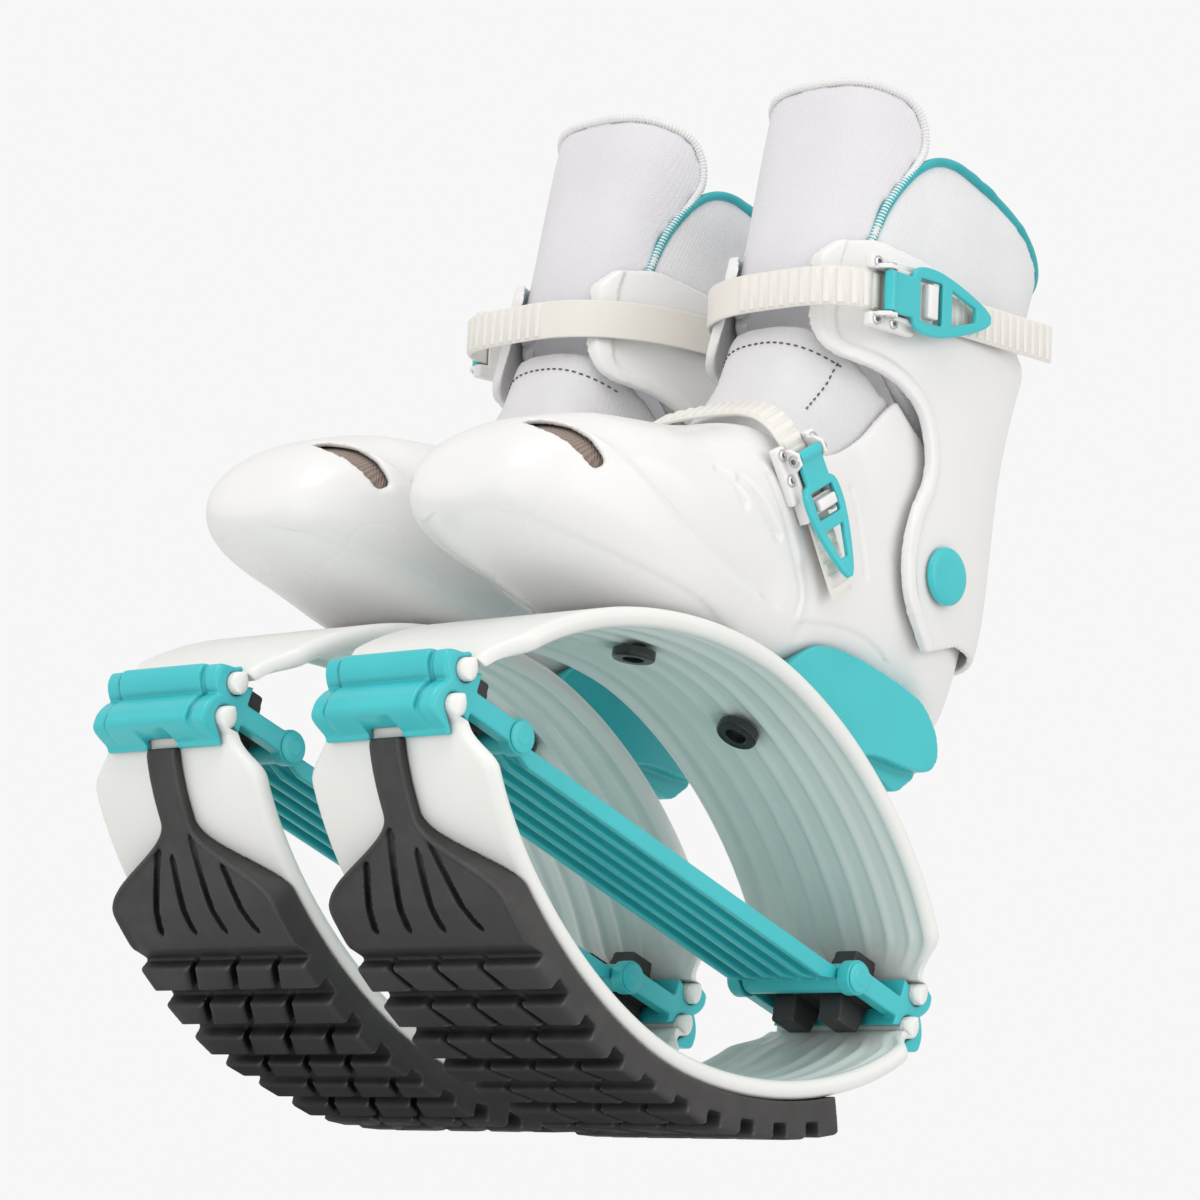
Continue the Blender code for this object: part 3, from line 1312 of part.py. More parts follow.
def add_straps_and_buckles():
    """The two ladder straps, each with its buckle on the outer side."""
    top = top_strap_line()
    add_strap("top_strap", top, TOP_STRAP_WIDTH, "cream")
    frame = buckle_frame(top, TOP_BUCKLE_REACH, TOP_LEVER_LENGTH)
    add_buckle("top", frame, TOP_STRAP_WIDTH, TOP_LEVER_LENGTH, TOP_LEVER_WIDTH)
    instep = instep_strap_line()
    add_strap("instep_strap", instep, INSTEP_STRAP_WIDTH, "cream")
    frame = buckle_frame(instep, INSTEP_BUCKLE_REACH, INSTEP_LEVER_LENGTH)
    add_buckle("instep", frame, INSTEP_STRAP_WIDTH, INSTEP_LEVER_LENGTH, INSTEP_LEVER_WIDTH)


def build_left_shoe():
    """Every sub-part of the left shoe."""
    add_springs()
    add_mount_bolts()
    add_tread()
    add_clips()
    add_band()
    add_band_pins()
    add_bump_stops()
    add_boot_shell()
    add_heel_pad()
    add_boot_liner()
    add_collar_and_tongue()
    add_cuff()
    add_ankle_rivets()
    add_straps_and_buckles()


def build_right_shoe():
    """The right shoe: a mirror image of each finished sub-part of the left one."""
    mirror = Matrix.Scale(-1, 4, (1, 0, 0))
    for item in [item for item in SHOES.objects if item.name.endswith("_left")]:
        mesh = evaluated_mesh(item)
        mesh.transform(mirror)
        mesh.flip_normals()
        twin = linked(item.name.replace("_left", "_right"), mesh, SHOES)
        twin.location = mirror @ item.location
        twin.parent = RIGHT_SHOE


build_left_shoe()
build_right_shoe()
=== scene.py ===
"""The looks of a pair of jumping shoes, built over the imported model.

Each piece is made once, in the left shoe's own frame: X runs from the shoe's middle to its outer
side, Y = 0 is the middle of its springs with the toe towards -Y, and heights are from the ground,
all in metres. publish() puts it on the left shoe, and its mirror image on the right one.
"""

import math

import bmesh
import bpy
import numpy as np
from mathutils import Matrix, Vector
from mathutils.bvhtree import BVHTree


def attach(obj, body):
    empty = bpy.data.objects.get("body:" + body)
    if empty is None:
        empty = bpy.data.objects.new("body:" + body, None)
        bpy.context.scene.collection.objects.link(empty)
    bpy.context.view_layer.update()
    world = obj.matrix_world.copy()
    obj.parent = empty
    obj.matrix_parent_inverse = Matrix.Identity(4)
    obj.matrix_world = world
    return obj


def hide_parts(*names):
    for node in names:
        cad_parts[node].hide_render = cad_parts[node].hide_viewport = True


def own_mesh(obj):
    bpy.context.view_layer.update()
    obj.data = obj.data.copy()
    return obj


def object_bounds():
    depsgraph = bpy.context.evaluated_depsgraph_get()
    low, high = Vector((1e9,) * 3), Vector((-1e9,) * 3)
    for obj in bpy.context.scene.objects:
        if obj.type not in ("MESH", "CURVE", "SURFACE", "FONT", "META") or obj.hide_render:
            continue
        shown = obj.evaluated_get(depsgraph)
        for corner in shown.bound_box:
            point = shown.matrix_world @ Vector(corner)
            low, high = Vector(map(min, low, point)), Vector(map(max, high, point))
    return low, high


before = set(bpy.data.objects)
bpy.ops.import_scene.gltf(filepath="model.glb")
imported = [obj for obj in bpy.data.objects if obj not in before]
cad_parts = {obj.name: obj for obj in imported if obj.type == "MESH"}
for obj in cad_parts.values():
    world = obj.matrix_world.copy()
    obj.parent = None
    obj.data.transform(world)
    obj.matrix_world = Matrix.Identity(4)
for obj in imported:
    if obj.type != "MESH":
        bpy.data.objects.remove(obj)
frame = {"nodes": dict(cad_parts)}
CAD_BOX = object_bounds()

# The pair
PAIR_SPACING = 0.1262
PAIR_STAGGER = 0.0045
SIDES = ((1, "left"), (-1, "right"))

# General
CLEARANCE = 0.0003
OVERRUN = 0.020
WELD = 0.000005

# The camera of the photograph: its place, the directions of the picture's right and down, and the
# focal length in pixels of a picture that is 1200 pixels wide
PICTURE_WIDTH = 1200
CAMERA_PLACE = (1.2650, -1.18175, -0.5058)
CAMERA_RIGHT = (0.7361, 0.6201, 0.2715)
CAMERA_DOWN = (-0.0725, 0.471, -0.8791)
CAMERA_FOCAL_PIXELS = 4325
CAMERA_CLIP_START = 0.01
SENSOR_MILLIMETRES = 36

# Lamps: name, place, size and power in watts
LAMPS = (
    ("key_lamp", (0.5, -1.6, 1.5), 1.2, 13), ("side_lamp", (1.9, 0.4, 0.9), 1.4, 8),
    ("low_lamp", (0.6, -1.5, -0.9), 1.4, 7),
)
FLOOR_REACH = 6.0

# The oval of springs: the curve of its outer face, mirrored about the middle height
MIDDLE_HEIGHT = 0.105
SPRING_REACH = 0.153
SPRING_END_HEIGHT = 0.003
SPRING_CURVE_START = 0.006
SPRING_RISE = 0.0855
SPRING_LENGTH_POWER = 1.81
SPRING_RISE_POWER = 1.48
SPRING_WIDTH = 0.101
SPRING_NECK_WIDTH = 0.076
SPRING_NECK_LENGTH = 0.012
SPRING_SHOULDER_LENGTH = 0.020
SPRING_THICKNESS = 0.0052
SPRING_RIM_DEPTH = 0.0082
SPRING_RIM_WIDTH = 0.0075
SPRING_RIM_share = 0.9
SPRING_RIB_HEIGHT = 0.0016
SPRING_RIB_PITCH = 0.0125
SPRING_RIB_POWER = 1.5
SPRING_BEAD_RADIUS = 0.0048
SPRING_BEAD_SETBACK = 0.0008
UPPER_SPRING_TOP = 0.1965

# Mounting bolts through the upper spring
BOLT_SPREAD = 0.076
BOLT_HEAD_RADIUS = 0.0092
BOLT_HEAD_HEIGHT = 0.0042
BOLT_SEAT_GAP = 0.0008
BOLT_SHANK_RADIUS = 0.004
BOLT_SOCKET_RADIUS = 0.0046
BOLT_SOCKET_DEPTH = 0.0026
BOLT_BEVEL = 0.0011

# Outsole tread
TREAD_WIDTH = 0.100
TREAD_BASE = 0.009
TREAD_LUG_HEIGHT = 0.007
TREAD_LUG_CHAMFER = 0.0012
TREAD_LUG_DRAW_IN = 1.4
TREAD_STRAP_WIDTH = 0.0172
TREAD_STRAP_THICKNESS = 0.0035
TREAD_STRAP_DROP = 0.0185
TREAD_STRAP_LENGTH = 0.028
TREAD_SHOULDER_LENGTH = 0.034
TREAD_PAD_LENGTH = 0.018
TREAD_REAR_REACH = 0.101
TREAD_LUG_ROWS = 10
TREAD_LUGS = 4
TREAD_GROOVE = 0.0036
TREAD_ROW_GROOVE = 0.0075
TREAD_LUG_SKEW = 0.0035
TREAD_SLOT_WIDTH = 0.0038
TREAD_SLOT_LENGTH = 0.040
TREAD_SLOT_DEPTH = 0.0035
TREAD_TUCK = 0.0027
TREAD_RIM_RADIUS = 0.0013
TREAD_PAD_THICKNESS = TREAD_BASE + TREAD_LUG_HEIGHT / 2

# End clips, band, pins and bump stops
CLIP_WIDTH = 0.068
CLIP_WALL = 0.0058
CLIP_BACK_WALL = 0.0042
CLIP_SIDE_BAND = 0.0105
CLIP_STEP = 0.0014
CLIP_WAIST = 0.0042
CLIP_LIP_RISE = 0.0155
CLIP_LIP_DROP = 0.0195
CLIP_LIP_THICKNESS = 0.003
CLIP_LIP_GAP = 0.0009
CLIP_BACK_RISE = 0.0028
# The clip's front face, as its setback and a share of its rise
CLIP_BULGE = (
    (CLIP_WAIST, 0.0), (CLIP_WAIST / 2, 0.12), (0.0, 0.32), (-CLIP_STEP / 2, 0.52), (CLIP_STEP / 2, 0.76),
)
ARM_DROP = 0.002
ARM_HEIGHT = 0.009
ARM_THICKNESS = 0.0065
BOSS_REACH = 0.1135
BOSS_RADIUS = 0.0075
PIN_RADIUS = 0.0028
PIN_CAP_RADIUS = 0.0068
PIN_CAP_HEIGHT = 0.0013
PIN_CAP_TOP = 1.15 * PIN_CAP_HEIGHT
PIN_CAP_VOXEL = 0.0003
BAND_WIDTH = CLIP_WIDTH - 2 * ARM_THICKNESS - 4 * CLEARANCE
BAND_EYE_RADIUS = 0.0062
BAND_THICKNESS = 0.0032
BAND_RIB_HEIGHT = 0.0044
BAND_RIB_WIDTH = 0.0030
BAND_RIB_TAPER = 0.012
BAND_RIBS = 6
STOP_RISE = 0.0165
STOP_FIN_WIDTH = 0.012
STOP_FIN_SPREAD = 0.026
STOP_BASE_HEIGHT = 0.007

# Boot
BOOT_LENGTH = 0.320
SHAFT_HEIGHT = 0.200
SHAFT_FOOT_HEIGHT = 0.198
BOOT_WIDTH = 0.100
BOOT_WALL = 0.003
TOE_SHIFT = 0.004
TOE_SHIFT_START = 0.020
TOE_SHIFT_LENGTH = 0.120
VENT_LENGTH = 0.041
VENT_WIDTH = 0.012
VENT_DEPTH = 0.020
VENT_SPREAD = 0.068
PAD_WIDTH = 0.084
PAD_LOBE_WIDTH = 0.070
PAD_GAP = 0.0007

# Liner, collar and tongue
LINER_GAP = 0.0012
LINER_PADDING = 0.007
PIPING_RADIUS = 0.0021
BINDING_RADIUS = 0.0017
BINDING_RIB = 0.0003
BINDING_PITCH = 0.0016
STITCH_LENGTH = 0.0021
STITCH_PITCH = 0.0034
STITCH_RADIUS = 0.0004
SEAM_LIFT = 0.0003
TONGUE_SEAM_INSET = 0.0042
TONGUE_BINDING_FOOT_share = 0.875
COLLAR_PIPING_FOOT_share = 0.95
VENT_MESH_END_shares = (-0.30, 0.33)

# Cuff and its pivots
CUFF_WALL = 0.003
CUFF_RIM_WIDTH = 0.0065
CUFF_RIM_STEP = 0.0016
ANKLE_REACH = 0.082
ANKLE_HEIGHT = 0.279
ANKLE_DISC_RADIUS = 0.0128
ANKLE_DISC_THICKNESS = 0.0028
ANKLE_DOME_RADIUS = 0.965 * ANKLE_DISC_RADIUS
ANKLE_DOME_DROP_share = 0.35
ANKLE_RIM_RADIUS = 0.99 * ANKLE_DISC_RADIUS
ANKLE_RIM_HEIGHT = 0.45 * ANKLE_DISC_THICKNESS
ANKLE_RIM_TOP = 1.2 * ANKLE_RIM_HEIGHT
ANKLE_PIN_RADIUS = 0.005
ANKLE_PIN_LENGTH = 0.0075
ANKLE_SEAT_GAP = 0.0006

# Straps: where each one's plane crosses the shoe's side view, and its curve in that plane
STRAP_THICKNESS = 0.0016
STRAP_TOOTH_HEIGHT = 0.0008
STRAP_TOOTH_PITCH = 0.0055
STRAP_GAP = 0.0006
STRAP_BEVEL = 0.0004
TOP_STRAP_WIDTH = 0.017
TOP_STRAP_HEIGHT = 0.372
TOP_STRAP_SLOPE_DEGREES = 20.0
TOP_STRAP_CROWN = 0.001
TOP_STRAP_FRONT = -0.0325
TOP_STRAP_BEND = 0.045
TOP_STRAP_HALF_WIDTH = 0.0510
TOP_STRAP_POWER = 5.0
TOP_STRAP_INNER_BEND = 0.060
TOP_STRAP_INNER_POWER = 2.25
TOP_STRAP_TAIL = 0.113
TOP_STRAP_ANCHOR = 0.066
INSTEP_STRAP_WIDTH = 0.014
INSTEP_STRAP_HEIGHT = 0.2555
INSTEP_STRAP_SLOPE_DEGREES = -40.2
INSTEP_STRAP_CROWN = 0.013
INSTEP_STRAP_FRONT = -0.0545
INSTEP_STRAP_BEND = 0.060
INSTEP_STRAP_HALF_WIDTH = 0.0500
INSTEP_STRAP_POWER = 4.5
INSTEP_STRAP_TAIL = 0.028
INSTEP_STRAP_ANCHOR = 0.028

# Buckles
TOP_BUCKLE_REACH = -0.0089
TOP_LEVER_LENGTH = 0.070
TOP_LEVER_WIDTH = 0.030
INSTEP_BUCKLE_REACH = -0.0345
INSTEP_LEVER_LENGTH = 0.056
INSTEP_LEVER_WIDTH = 0.024
BUCKLE_FLOOR = 0.0012
BUCKLE_CHEEK = 0.002
BUCKLE_SIDE_GAP = 0.0009
BUCKLE_FLANGE = 0.0062
BUCKLE_FLANGE_TOP = 0.0030
BUCKLE_NOSE = 0.0075
BUCKLE_BEVEL = 0.0012
LEVER_THICKNESS = 0.0026
LEVER_BEVEL = 0.0007
LEVER_PIN_RADIUS = 0.0014
LEVER_BARREL_RADIUS = 0.0026
TAB_THICKNESS = 0.0015
TAB_TRAVEL = 0.0008
TAB_RISE = 0.0012
SCREW_RADIUS = 0.0027
SCREW_HEIGHT = 0.0007
SCREW_SOCKET_RADIUS = 0.42 * SCREW_RADIUS
SCREW_SOCKET_FLOOR = 0.0001

# How fine the softened skins are
FINE_VOXEL = 0.00055
SMALL_VOXEL = 0.0007
TREAD_VOXEL = 0.0008
SHELL_VOXEL = 0.0011
CLOTH_VOXEL = 0.0022
RIM_LINE_PITCH = 0.0012
CORD_PITCH = 0.0015

# Patterns of the materials, and how far a corner's shade reaches
WAVE_SCALE = 2 * math.pi / 20
GRAIN_HEIGHT = 0.00002
CORNER_REACH = 0.006
MILKY_DEPTHS = (0.004, 0.006, 0.005)
RIPPLE_HEIGHT = 0.0008
RUBBER_CORNER_REACH = 0.009
RUBBER_GRAIN_HEIGHT = 0.00008
CAP_GRAIN_HEIGHT = 0.00003
VENT_MESH_PITCH = 0.0012
VENT_MESH_HEIGHT = 0.0003
WEAVE_PITCH = 0.0009
WEAVE_HEIGHT = 0.00012
CLOTH_CREASE_HEIGHT = 0.0005
THREAD_HEIGHT = 0.0002
STEEL_GRAIN_HEIGHT = 0.00004

# Sections of the boot. Each row runs from its front or top point to its back or bottom point:
# Y as a share of the boot's length and height over the shaft's foot as a share of the shaft's
# height, twice, then the half width as a share of the boot's, and the section's two powers,
# which say how square it is towards each point.
BOOT_SECTION_shares = (
    (-0.486, 0.050, -0.486, -0.002, 0.32, 2.0, 2.0),
    (-0.478, 0.110, -0.478, -0.032, 0.55, 2.1, 2.2),
    (-0.453, 0.170, -0.453, -0.052, 0.73, 2.2, 2.5),
    (-0.410, 0.226, -0.410, -0.060, 0.87, 2.3, 2.9),
    (-0.350, 0.286, -0.350, -0.060, 0.965, 2.3, 3.2),
    (-0.281, 0.335, -0.275, -0.055, 1.00, 2.3, 3.4),
    (-0.209, 0.385, -0.175, -0.053, 0.99, 2.4, 3.4),
    (-0.144, 0.445, -0.075, -0.018, 0.96, 2.8, 3.2),
    (-0.100, 0.510, 0.044, -0.014, 0.94, 3.0, 3.0),
    (-0.080, 0.575, 0.175, 0.065, 0.91, 3.0, 2.8),
    (-0.072, 0.630, 0.306, 0.120, 0.88, 3.0, 2.6),
    (-0.069, 0.675, 0.402, 0.098, 0.86, 3.0, 2.4),
    (-0.069, 0.710, 0.440, 0.155, 0.86, 3.0, 2.2),
    (-0.069, 0.740, 0.453, 0.245, 0.86, 3.0, 2.1),
    (-0.069, 0.770, 0.457, 0.350, 0.86, 3.0, 2.0),
    (-0.069, 0.805, 0.455, 0.485, 0.86, 3.0, 2.0),
)
# The cuff's sections in the same form; its open front lies well behind their front points
CUFF_SECTION_shares = (
    (-0.100, 0.160, 0.457, 0.160, 0.93, 3.0, 2.3),
    (-0.105, 0.260, 0.466, 0.260, 0.96, 2.8, 2.2),
    (-0.105, 0.380, 0.474, 0.380, 0.98, 2.6, 2.2),
    (-0.105, 0.500, 0.468, 0.500, 0.98, 2.5, 2.1),
    (-0.103, 0.620, 0.449, 0.620, 0.98, 2.4, 2.1),
    (-0.098, 0.760, 0.428, 0.760, 0.98, 2.2, 2.1),
    (-0.101, 0.900, 0.414, 0.900, 0.98, 2.2, 2.2),
    (-0.108, 1.060, 0.406, 1.060, 0.98, 2.4, 2.4),
)
# The padded leg of the liner, which the collar and the tongue share
LEG_SECTION_shares = (
    (-0.048, 0.480, 0.443, 0.480, 0.74, 2.6, 2.1),
    (-0.058, 0.620, 0.4285, 0.620, 0.76, 2.6, 2.1),
    (-0.066, 0.740, 0.4125, 0.740, 0.78, 2.6, 2.1),
    (-0.072, 0.860, 0.4005, 0.860, 0.857, 2.6, 2.2),
    (-0.077, 0.980, 0.3945, 0.980, 0.896, 2.6, 2.3),
    (-0.084, 1.120, 0.390, 1.120, 0.908, 2.8, 2.3),
    (-0.094, 1.300, 0.386, 1.300, 0.92, 3.0, 2.3),
    (-0.104, 1.500, 0.380, 1.500, 0.92, 3.0, 2.3),
)
# Side outlines, as shares of the boot's length and of the shaft's height over its foot
CUFF_RIM_shares = (
    (-0.075, 0.925), (-0.066, 0.845), (-0.053, 0.755), (-0.025, 0.715), (0.044, 0.725), (0.097, 0.715),
    (0.134, 0.685), (0.163, 0.620), (0.169, 0.560), (0.163, 0.485), (0.169, 0.390), (0.195, 0.310),
    (0.231, 0.265), (0.269, 0.230),
)
CUFF_BACK_shares = (
    (0.300, 0.262), (0.345, 0.310), (0.420, 0.345), (0.531, 0.360), (0.531, 1.015), (0.344, 1.020),
    (0.188, 1.015), (0.062, 1.020), (-0.019, 1.005), (-0.062, 0.970),
)
THROAT_shares = (
    (-0.194, 0.410), (-0.144, 0.455), (-0.062, 0.440), (0.003, 0.485), (0.053, 0.570), (0.097, 0.705),
    (0.188, 0.845),
)
LINER_TOP_shares = ((-0.140, 0.775), (-0.040, 0.775), (0.097, 0.700), (0.256, 0.590), (0.500, 0.440))
COLLAR_EDGE_shares = (
    (-0.016, 0.835), (-0.016, 1.010), (-0.012, 1.110), (0.010, 1.210), (0.045, 1.265), (0.100, 1.285),
    (0.220, 1.285), (0.320, 1.265), (0.440, 1.225), (0.500, 1.150),
)
COLLAR_FOOT_shares = ((0.500, 0.465), (0.256, 0.615), (0.097, 0.745))
TONGUE_EDGE_shares = (
    (-0.0172, 0.845), (-0.0172, 1.010), (-0.0133, 1.111), (0.006, 1.217), (0.010, 1.270),
    (-0.004, 1.320), (-0.030, 1.352), (-0.075, 1.360),
)
TONGUE_FRONT_shares = ((-0.160, 1.362), (-0.160, 0.855))
PAD_shares = (
    (0.020, -0.080), (0.034, 0.000), (0.070, 0.080), (0.120, 0.115), (0.188, 0.134), (0.267, 0.142),
    (0.307, 0.138), (0.344, 0.105), (0.363, 0.060), (0.356, 0.015), (0.320, -0.010), (0.240, -0.040),
    (0.160, -0.100),
)
LOBE_shares = (
    (0.230, 0.000), (0.345, 0.010), (0.338, -0.035), (0.320, -0.060), (0.285, -0.055), (0.250, -0.045),
)
# Slots of the tread's pad: place across, lean, and length; their ends are narrower and shallower
TREAD_SLOT_shares = ((-0.62, 0.16, 0.75), (-0.24, 0.10, 1.05), (0.14, -0.02, 0.85), (0.56, -0.30, 0.95))
SLOT_END_share = 0.4
# One side of a lever's outline past its neck, and its windows: length from its pin and half width,
# as shares of its own length and half width
LEVER_SIDE_shares = (
    (0.225, 0.80), (0.270, 0.94), (0.370, 1.00), (0.500, 0.95), (0.660, 0.77), (0.820, 0.52),
    (0.930, 0.30), (0.985, 0.12),
)
LEVER_NECK_share = 0.207
LEVER_WINDOW_shares = ((0.280, 0.62), (0.490, 0.62))
LEVER_TIP_WINDOW_shares = ((0.590, 0.52), (0.830, 0.20))
STRAP_TOOTHED_share = 0.62
# A strap's tooth: place along its pitch and share of its height
STRAP_TOOTH_shares = (
    (0.0, 0.0), (0.15, 0.25), (0.35, 0.75), (0.55, 1.0), (0.80, 1.0), (0.88, 0.85), (0.95, 0.15),
)
TAB_BLOCK_shares = ((0.320, 0.50), (0.450, 0.50))
VENT_PLACE_shares = (-0.425, 0.157)
VENT_ALONG_shares = (0.87, 0.41, -0.27)
VENT_OUT_shares = (0.45, -0.63, 0.62)

# Lines in the boot's sides, as Y and height over the middle of the springs
SADDLE_LINE = (
    (-0.118, 0.1250), (-0.1055, 0.1209), (-0.0904, 0.1170), (-0.0690, 0.1118), (-0.0459, 0.1092),
    (-0.0191, 0.1105),
)
LOWER_LINE = (
    (-0.1417, 0.0850), (-0.1191, 0.0859), (-0.0938, 0.0886), (-0.0681, 0.0913), (-0.0418, 0.0941),
    (-0.0200, 0.0945),
)
SHORT_LINE = ((-0.0640, 0.1457), (-0.0534, 0.1448), (-0.0455, 0.1395))
LONG_LINE = ((-0.0510, 0.1483), (-0.0377, 0.1455), (-0.0216, 0.1378))
STRAP_LINE = (
    (-0.0353, 0.1588), (-0.0219, 0.1477), (-0.0075, 0.1342), (0.0026, 0.1241), (0.0048, 0.1155),
)
CHANNEL_LINE = ((0.0000, 0.1330), (0.0080, 0.1240), (0.0120, 0.1130))
SLOT_LINE = ((0.0163, 0.1818), (0.0244, 0.1733), (0.0316, 0.1633), (0.0395, 0.1517))
STEP_LINE = ((0.0130, 0.1150), (0.0310, 0.1230), (0.0520, 0.1290), (0.0700, 0.1300))

# Each line with its groove's depth and half width, and its ledge's height and reach
BOOT_LINES = (
    (SADDLE_LINE, -0.0008, 0.0018, -0.0028, 0.012),
    (LOWER_LINE, 0.0005, 0.0015, 0.0012, 0.010),
    (SHORT_LINE, 0.0014, 0.0018, 0.0, 0.004),
    (LONG_LINE, 0.0015, 0.0020, 0.0, 0.004),
    (STRAP_LINE, 0.0010, 0.0014, 0.0010, 0.007),
    (CHANNEL_LINE, 0.0014, 0.0042, 0.0, 0.004),
    (SLOT_LINE, 0.0011, 0.0013, 0.0, 0.004),
    (STEP_LINE, 0.0005, 0.0012, 0.0007, 0.007),
)
BOOT_LINE_START = 0.012

# Seams of the inner shoe, as X, Y and height over the middle of the springs
LINER_SEAM_LINE = (
    (-0.0300, 0.0010, 0.2350), (-0.0210, -0.0120, 0.2370), (-0.0100, -0.0165, 0.2385),
    (0.0030, -0.0170, 0.2390), (0.0140, -0.0165, 0.2380), (0.0210, -0.0120, 0.2370),
    (0.0270, -0.0070, 0.2360), (0.0310, 0.0010, 0.2350),
)
LINER_BRANCH_LINE = (
    (0.0305, 0.0000, 0.2350), (0.0300, -0.0010, 0.2300), (0.0295, -0.0020, 0.2240),
    (0.0290, -0.0050, 0.2160), (0.0295, -0.0090, 0.2080),
)

# Facets
SECTION_FACETS = 88
ROUND_FACETS = 48
SMALL_FACETS = 28
CURVE_SAMPLES = 600
SPRING_STEPS = 90
ENVELOPE_STEPS = 160
STRAP_STEPS = 60
SLOT_STEPS = 14

# A side outline is drawn with Y along the curve's X and Z along its Y
SIDE_PLANE = Matrix(((0, 0, 1, 0), (1, 0, 0, 0), (0, 1, 0, 0), (0, 0, 0, 1)))
BUCKLE_SIDE_PLANE = Matrix(((1, 0, 0, 0), (0, 0, -1, 0), (0, 1, 0, 0), (0, 0, 0, 1)))
MIRROR_HEIGHT = Matrix.Translation((0, 0, 2 * MIDDLE_HEIGHT)) @ Matrix.Scale(-1, 4, (0, 0, 1))
MIRROR_LENGTH = Matrix.Scale(-1, 4, (0, 1, 0))
MIRROR_SIDE = Matrix.Scale(-1, 4, (1, 0, 0))


# Mesh helpers


def evaluated_mesh(item):
    """Read an object's mesh with its modifiers, and remove the object."""
    bpy.context.view_layer.update()
    graph = bpy.context.evaluated_depsgraph_get()
    mesh = bpy.data.meshes.new_from_object(item.evaluated_get(graph))
    data = item.data
    bpy.data.objects.remove(item, do_unlink=True)
    if isinstance(data, bpy.types.Curve):
        bpy.data.curves.remove(data)
    return mesh


def placed(name, data):
    """Put a mesh, a curve, a lamp or a camera in the scene."""
    item = bpy.data.objects.new(name, data)
    bpy.context.scene.collection.objects.link(item)
    return item


def holder(mesh):
    """A throwaway object for a mesh that gets modifiers."""
    return placed("holder", mesh)


def finished(shape):
    """Turn a bmesh into a mesh, with its faces pointing out."""
    bmesh.ops.recalc_face_normals(shape, faces=shape.faces)
    if shape.calc_volume(signed=True) < 0:
        bmesh.ops.reverse_faces(shape, faces=shape.faces)
    mesh = bpy.data.meshes.new("shape")
    shape.to_mesh(mesh)
    shape.free()
    return mesh


def welded(mesh):
    """Read a mesh into a bmesh, with the points that lie on each other joined."""
    shape = bmesh.new()
    shape.from_mesh(mesh)
    bmesh.ops.remove_doubles(shape, verts=shape.verts, dist=WELD)
    return shape


def outline_mesh(outlines, thickness, bevel=0.0):
    """Fill flat outlines and thicken them with rounded edges; an outline inside another is a hole."""
    curve = bpy.data.curves.new("outline", "CURVE")
    curve.dimensions = "2D"
    curve.fill_mode = "BOTH"
    curve.extrude = thickness / 2 - bevel
    curve.bevel_depth = bevel
    curve.offset = -bevel
    curve.bevel_resolution = 3
    for outline in outlines:
        spline = curve.splines.new("POLY")
        spline.points.add(len(outline) - 1)
        for point, place in zip(spline.points, outline):
            point.co = (place[0], place[1], 0, 1)
        spline.use_cyclic_u = True
    return finished(welded(evaluated_mesh(holder(curve))))


def side_prism(outline, from_x, to_x):
    """Extrude a side outline across the shoe, between two places on X."""
    mesh = outline_mesh([outline], to_x - from_x)
    mesh.transform(Matrix.Translation(((from_x + to_x) / 2, 0, 0)) @ SIDE_PLANE)
    return mesh


def wide_prism(outline):
    """A side outline extruded well past both sides of the boot."""
    return side_prism(outline, -BOOT_WIDTH, BOOT_WIDTH)


def pointing(direction, up="Y"):
    """The turn that points the Z axis in a direction."""
    return Vector(direction).to_track_quat("Z", up).to_matrix().to_4x4()


def axes(x_axis, y_axis, z_axis):
    """The turn that lays X, Y and Z along three directions."""
    return Matrix((x_axis, y_axis, z_axis)).transposed().to_4x4()


def block(low, high, bevel=0.0):
    """Make a box between two corners, with rounded edges."""
    shape = bmesh.new()
    bmesh.ops.create_cube(shape, size=1)
    size = Vector(high) - Vector(low)
    bmesh.ops.scale(shape, vec=size, verts=shape.verts)
    bmesh.ops.translate(shape, vec=(Vector(high) + Vector(low)) / 2, verts=shape.verts)
    if bevel:
        bmesh.ops.bevel(
            shape, geom=shape.edges, offset=bevel, segments=3, affect="EDGES", profile=0.5
        )
    return finished(shape)


def rod(start, end, radius, facets=ROUND_FACETS):
    """Make a cylinder between two points."""
    start = Vector(start)
    run = Vector(end) - start
    shape = bmesh.new()
    bmesh.ops.create_cone(
        shape, cap_ends=True, segments=facets, radius1=radius, radius2=radius, depth=run.length
    )
    shape.transform(Matrix.Translation(start + run / 2) @ pointing(run))
    return finished(shape)


def rod_through(place, reach, radius, facets=ROUND_FACETS):
    """Make a cylinder that reaches as far to both sides of a point."""
    return rod(place - reach, place + reach, radius, facets)


def turned(profile, facets=ROUND_FACETS):
    """Turn a profile of radius and height about the Z axis with a Screw modifier."""
    mesh = bpy.data.meshes.new("profile")
    edges = [(index, index + 1) for index in range(len(profile) - 1)]
    mesh.from_pydata([(radius, 0, height) for radius, height in profile], edges, [])
    item = holder(mesh)
    screw = item.modifiers.new("turn", "SCREW")
    screw.steps = facets
    screw.render_steps = facets
    screw.use_merge_vertices = True
    screw.merge_threshold = WELD
    return finished(welded(evaluated_mesh(item)))


def add_loft(shape, rings):
    """Join closed rings of as many points each, and close both ends."""
    loops = [[shape.verts.new(place) for place in ring] for ring in rings]
    for near, far in zip(loops, loops[1:]):
        for index in range(len(near)):
            after = (index + 1) % len(near)
            shape.faces.new((near[index], near[after], far[after], far[index]))
    shape.faces.new(loops[0])
    shape.faces.new(loops[-1])


def loft(rings):
    """Make a solid of closed rings."""
    shape = bmesh.new()
    add_loft(shape, rings)
    return finished(shape)


def mirrored(mesh, mirror):
    """Mirror a mesh and keep its faces pointing out."""
    mesh.transform(mirror)
    mesh.flip_normals()
    return mesh


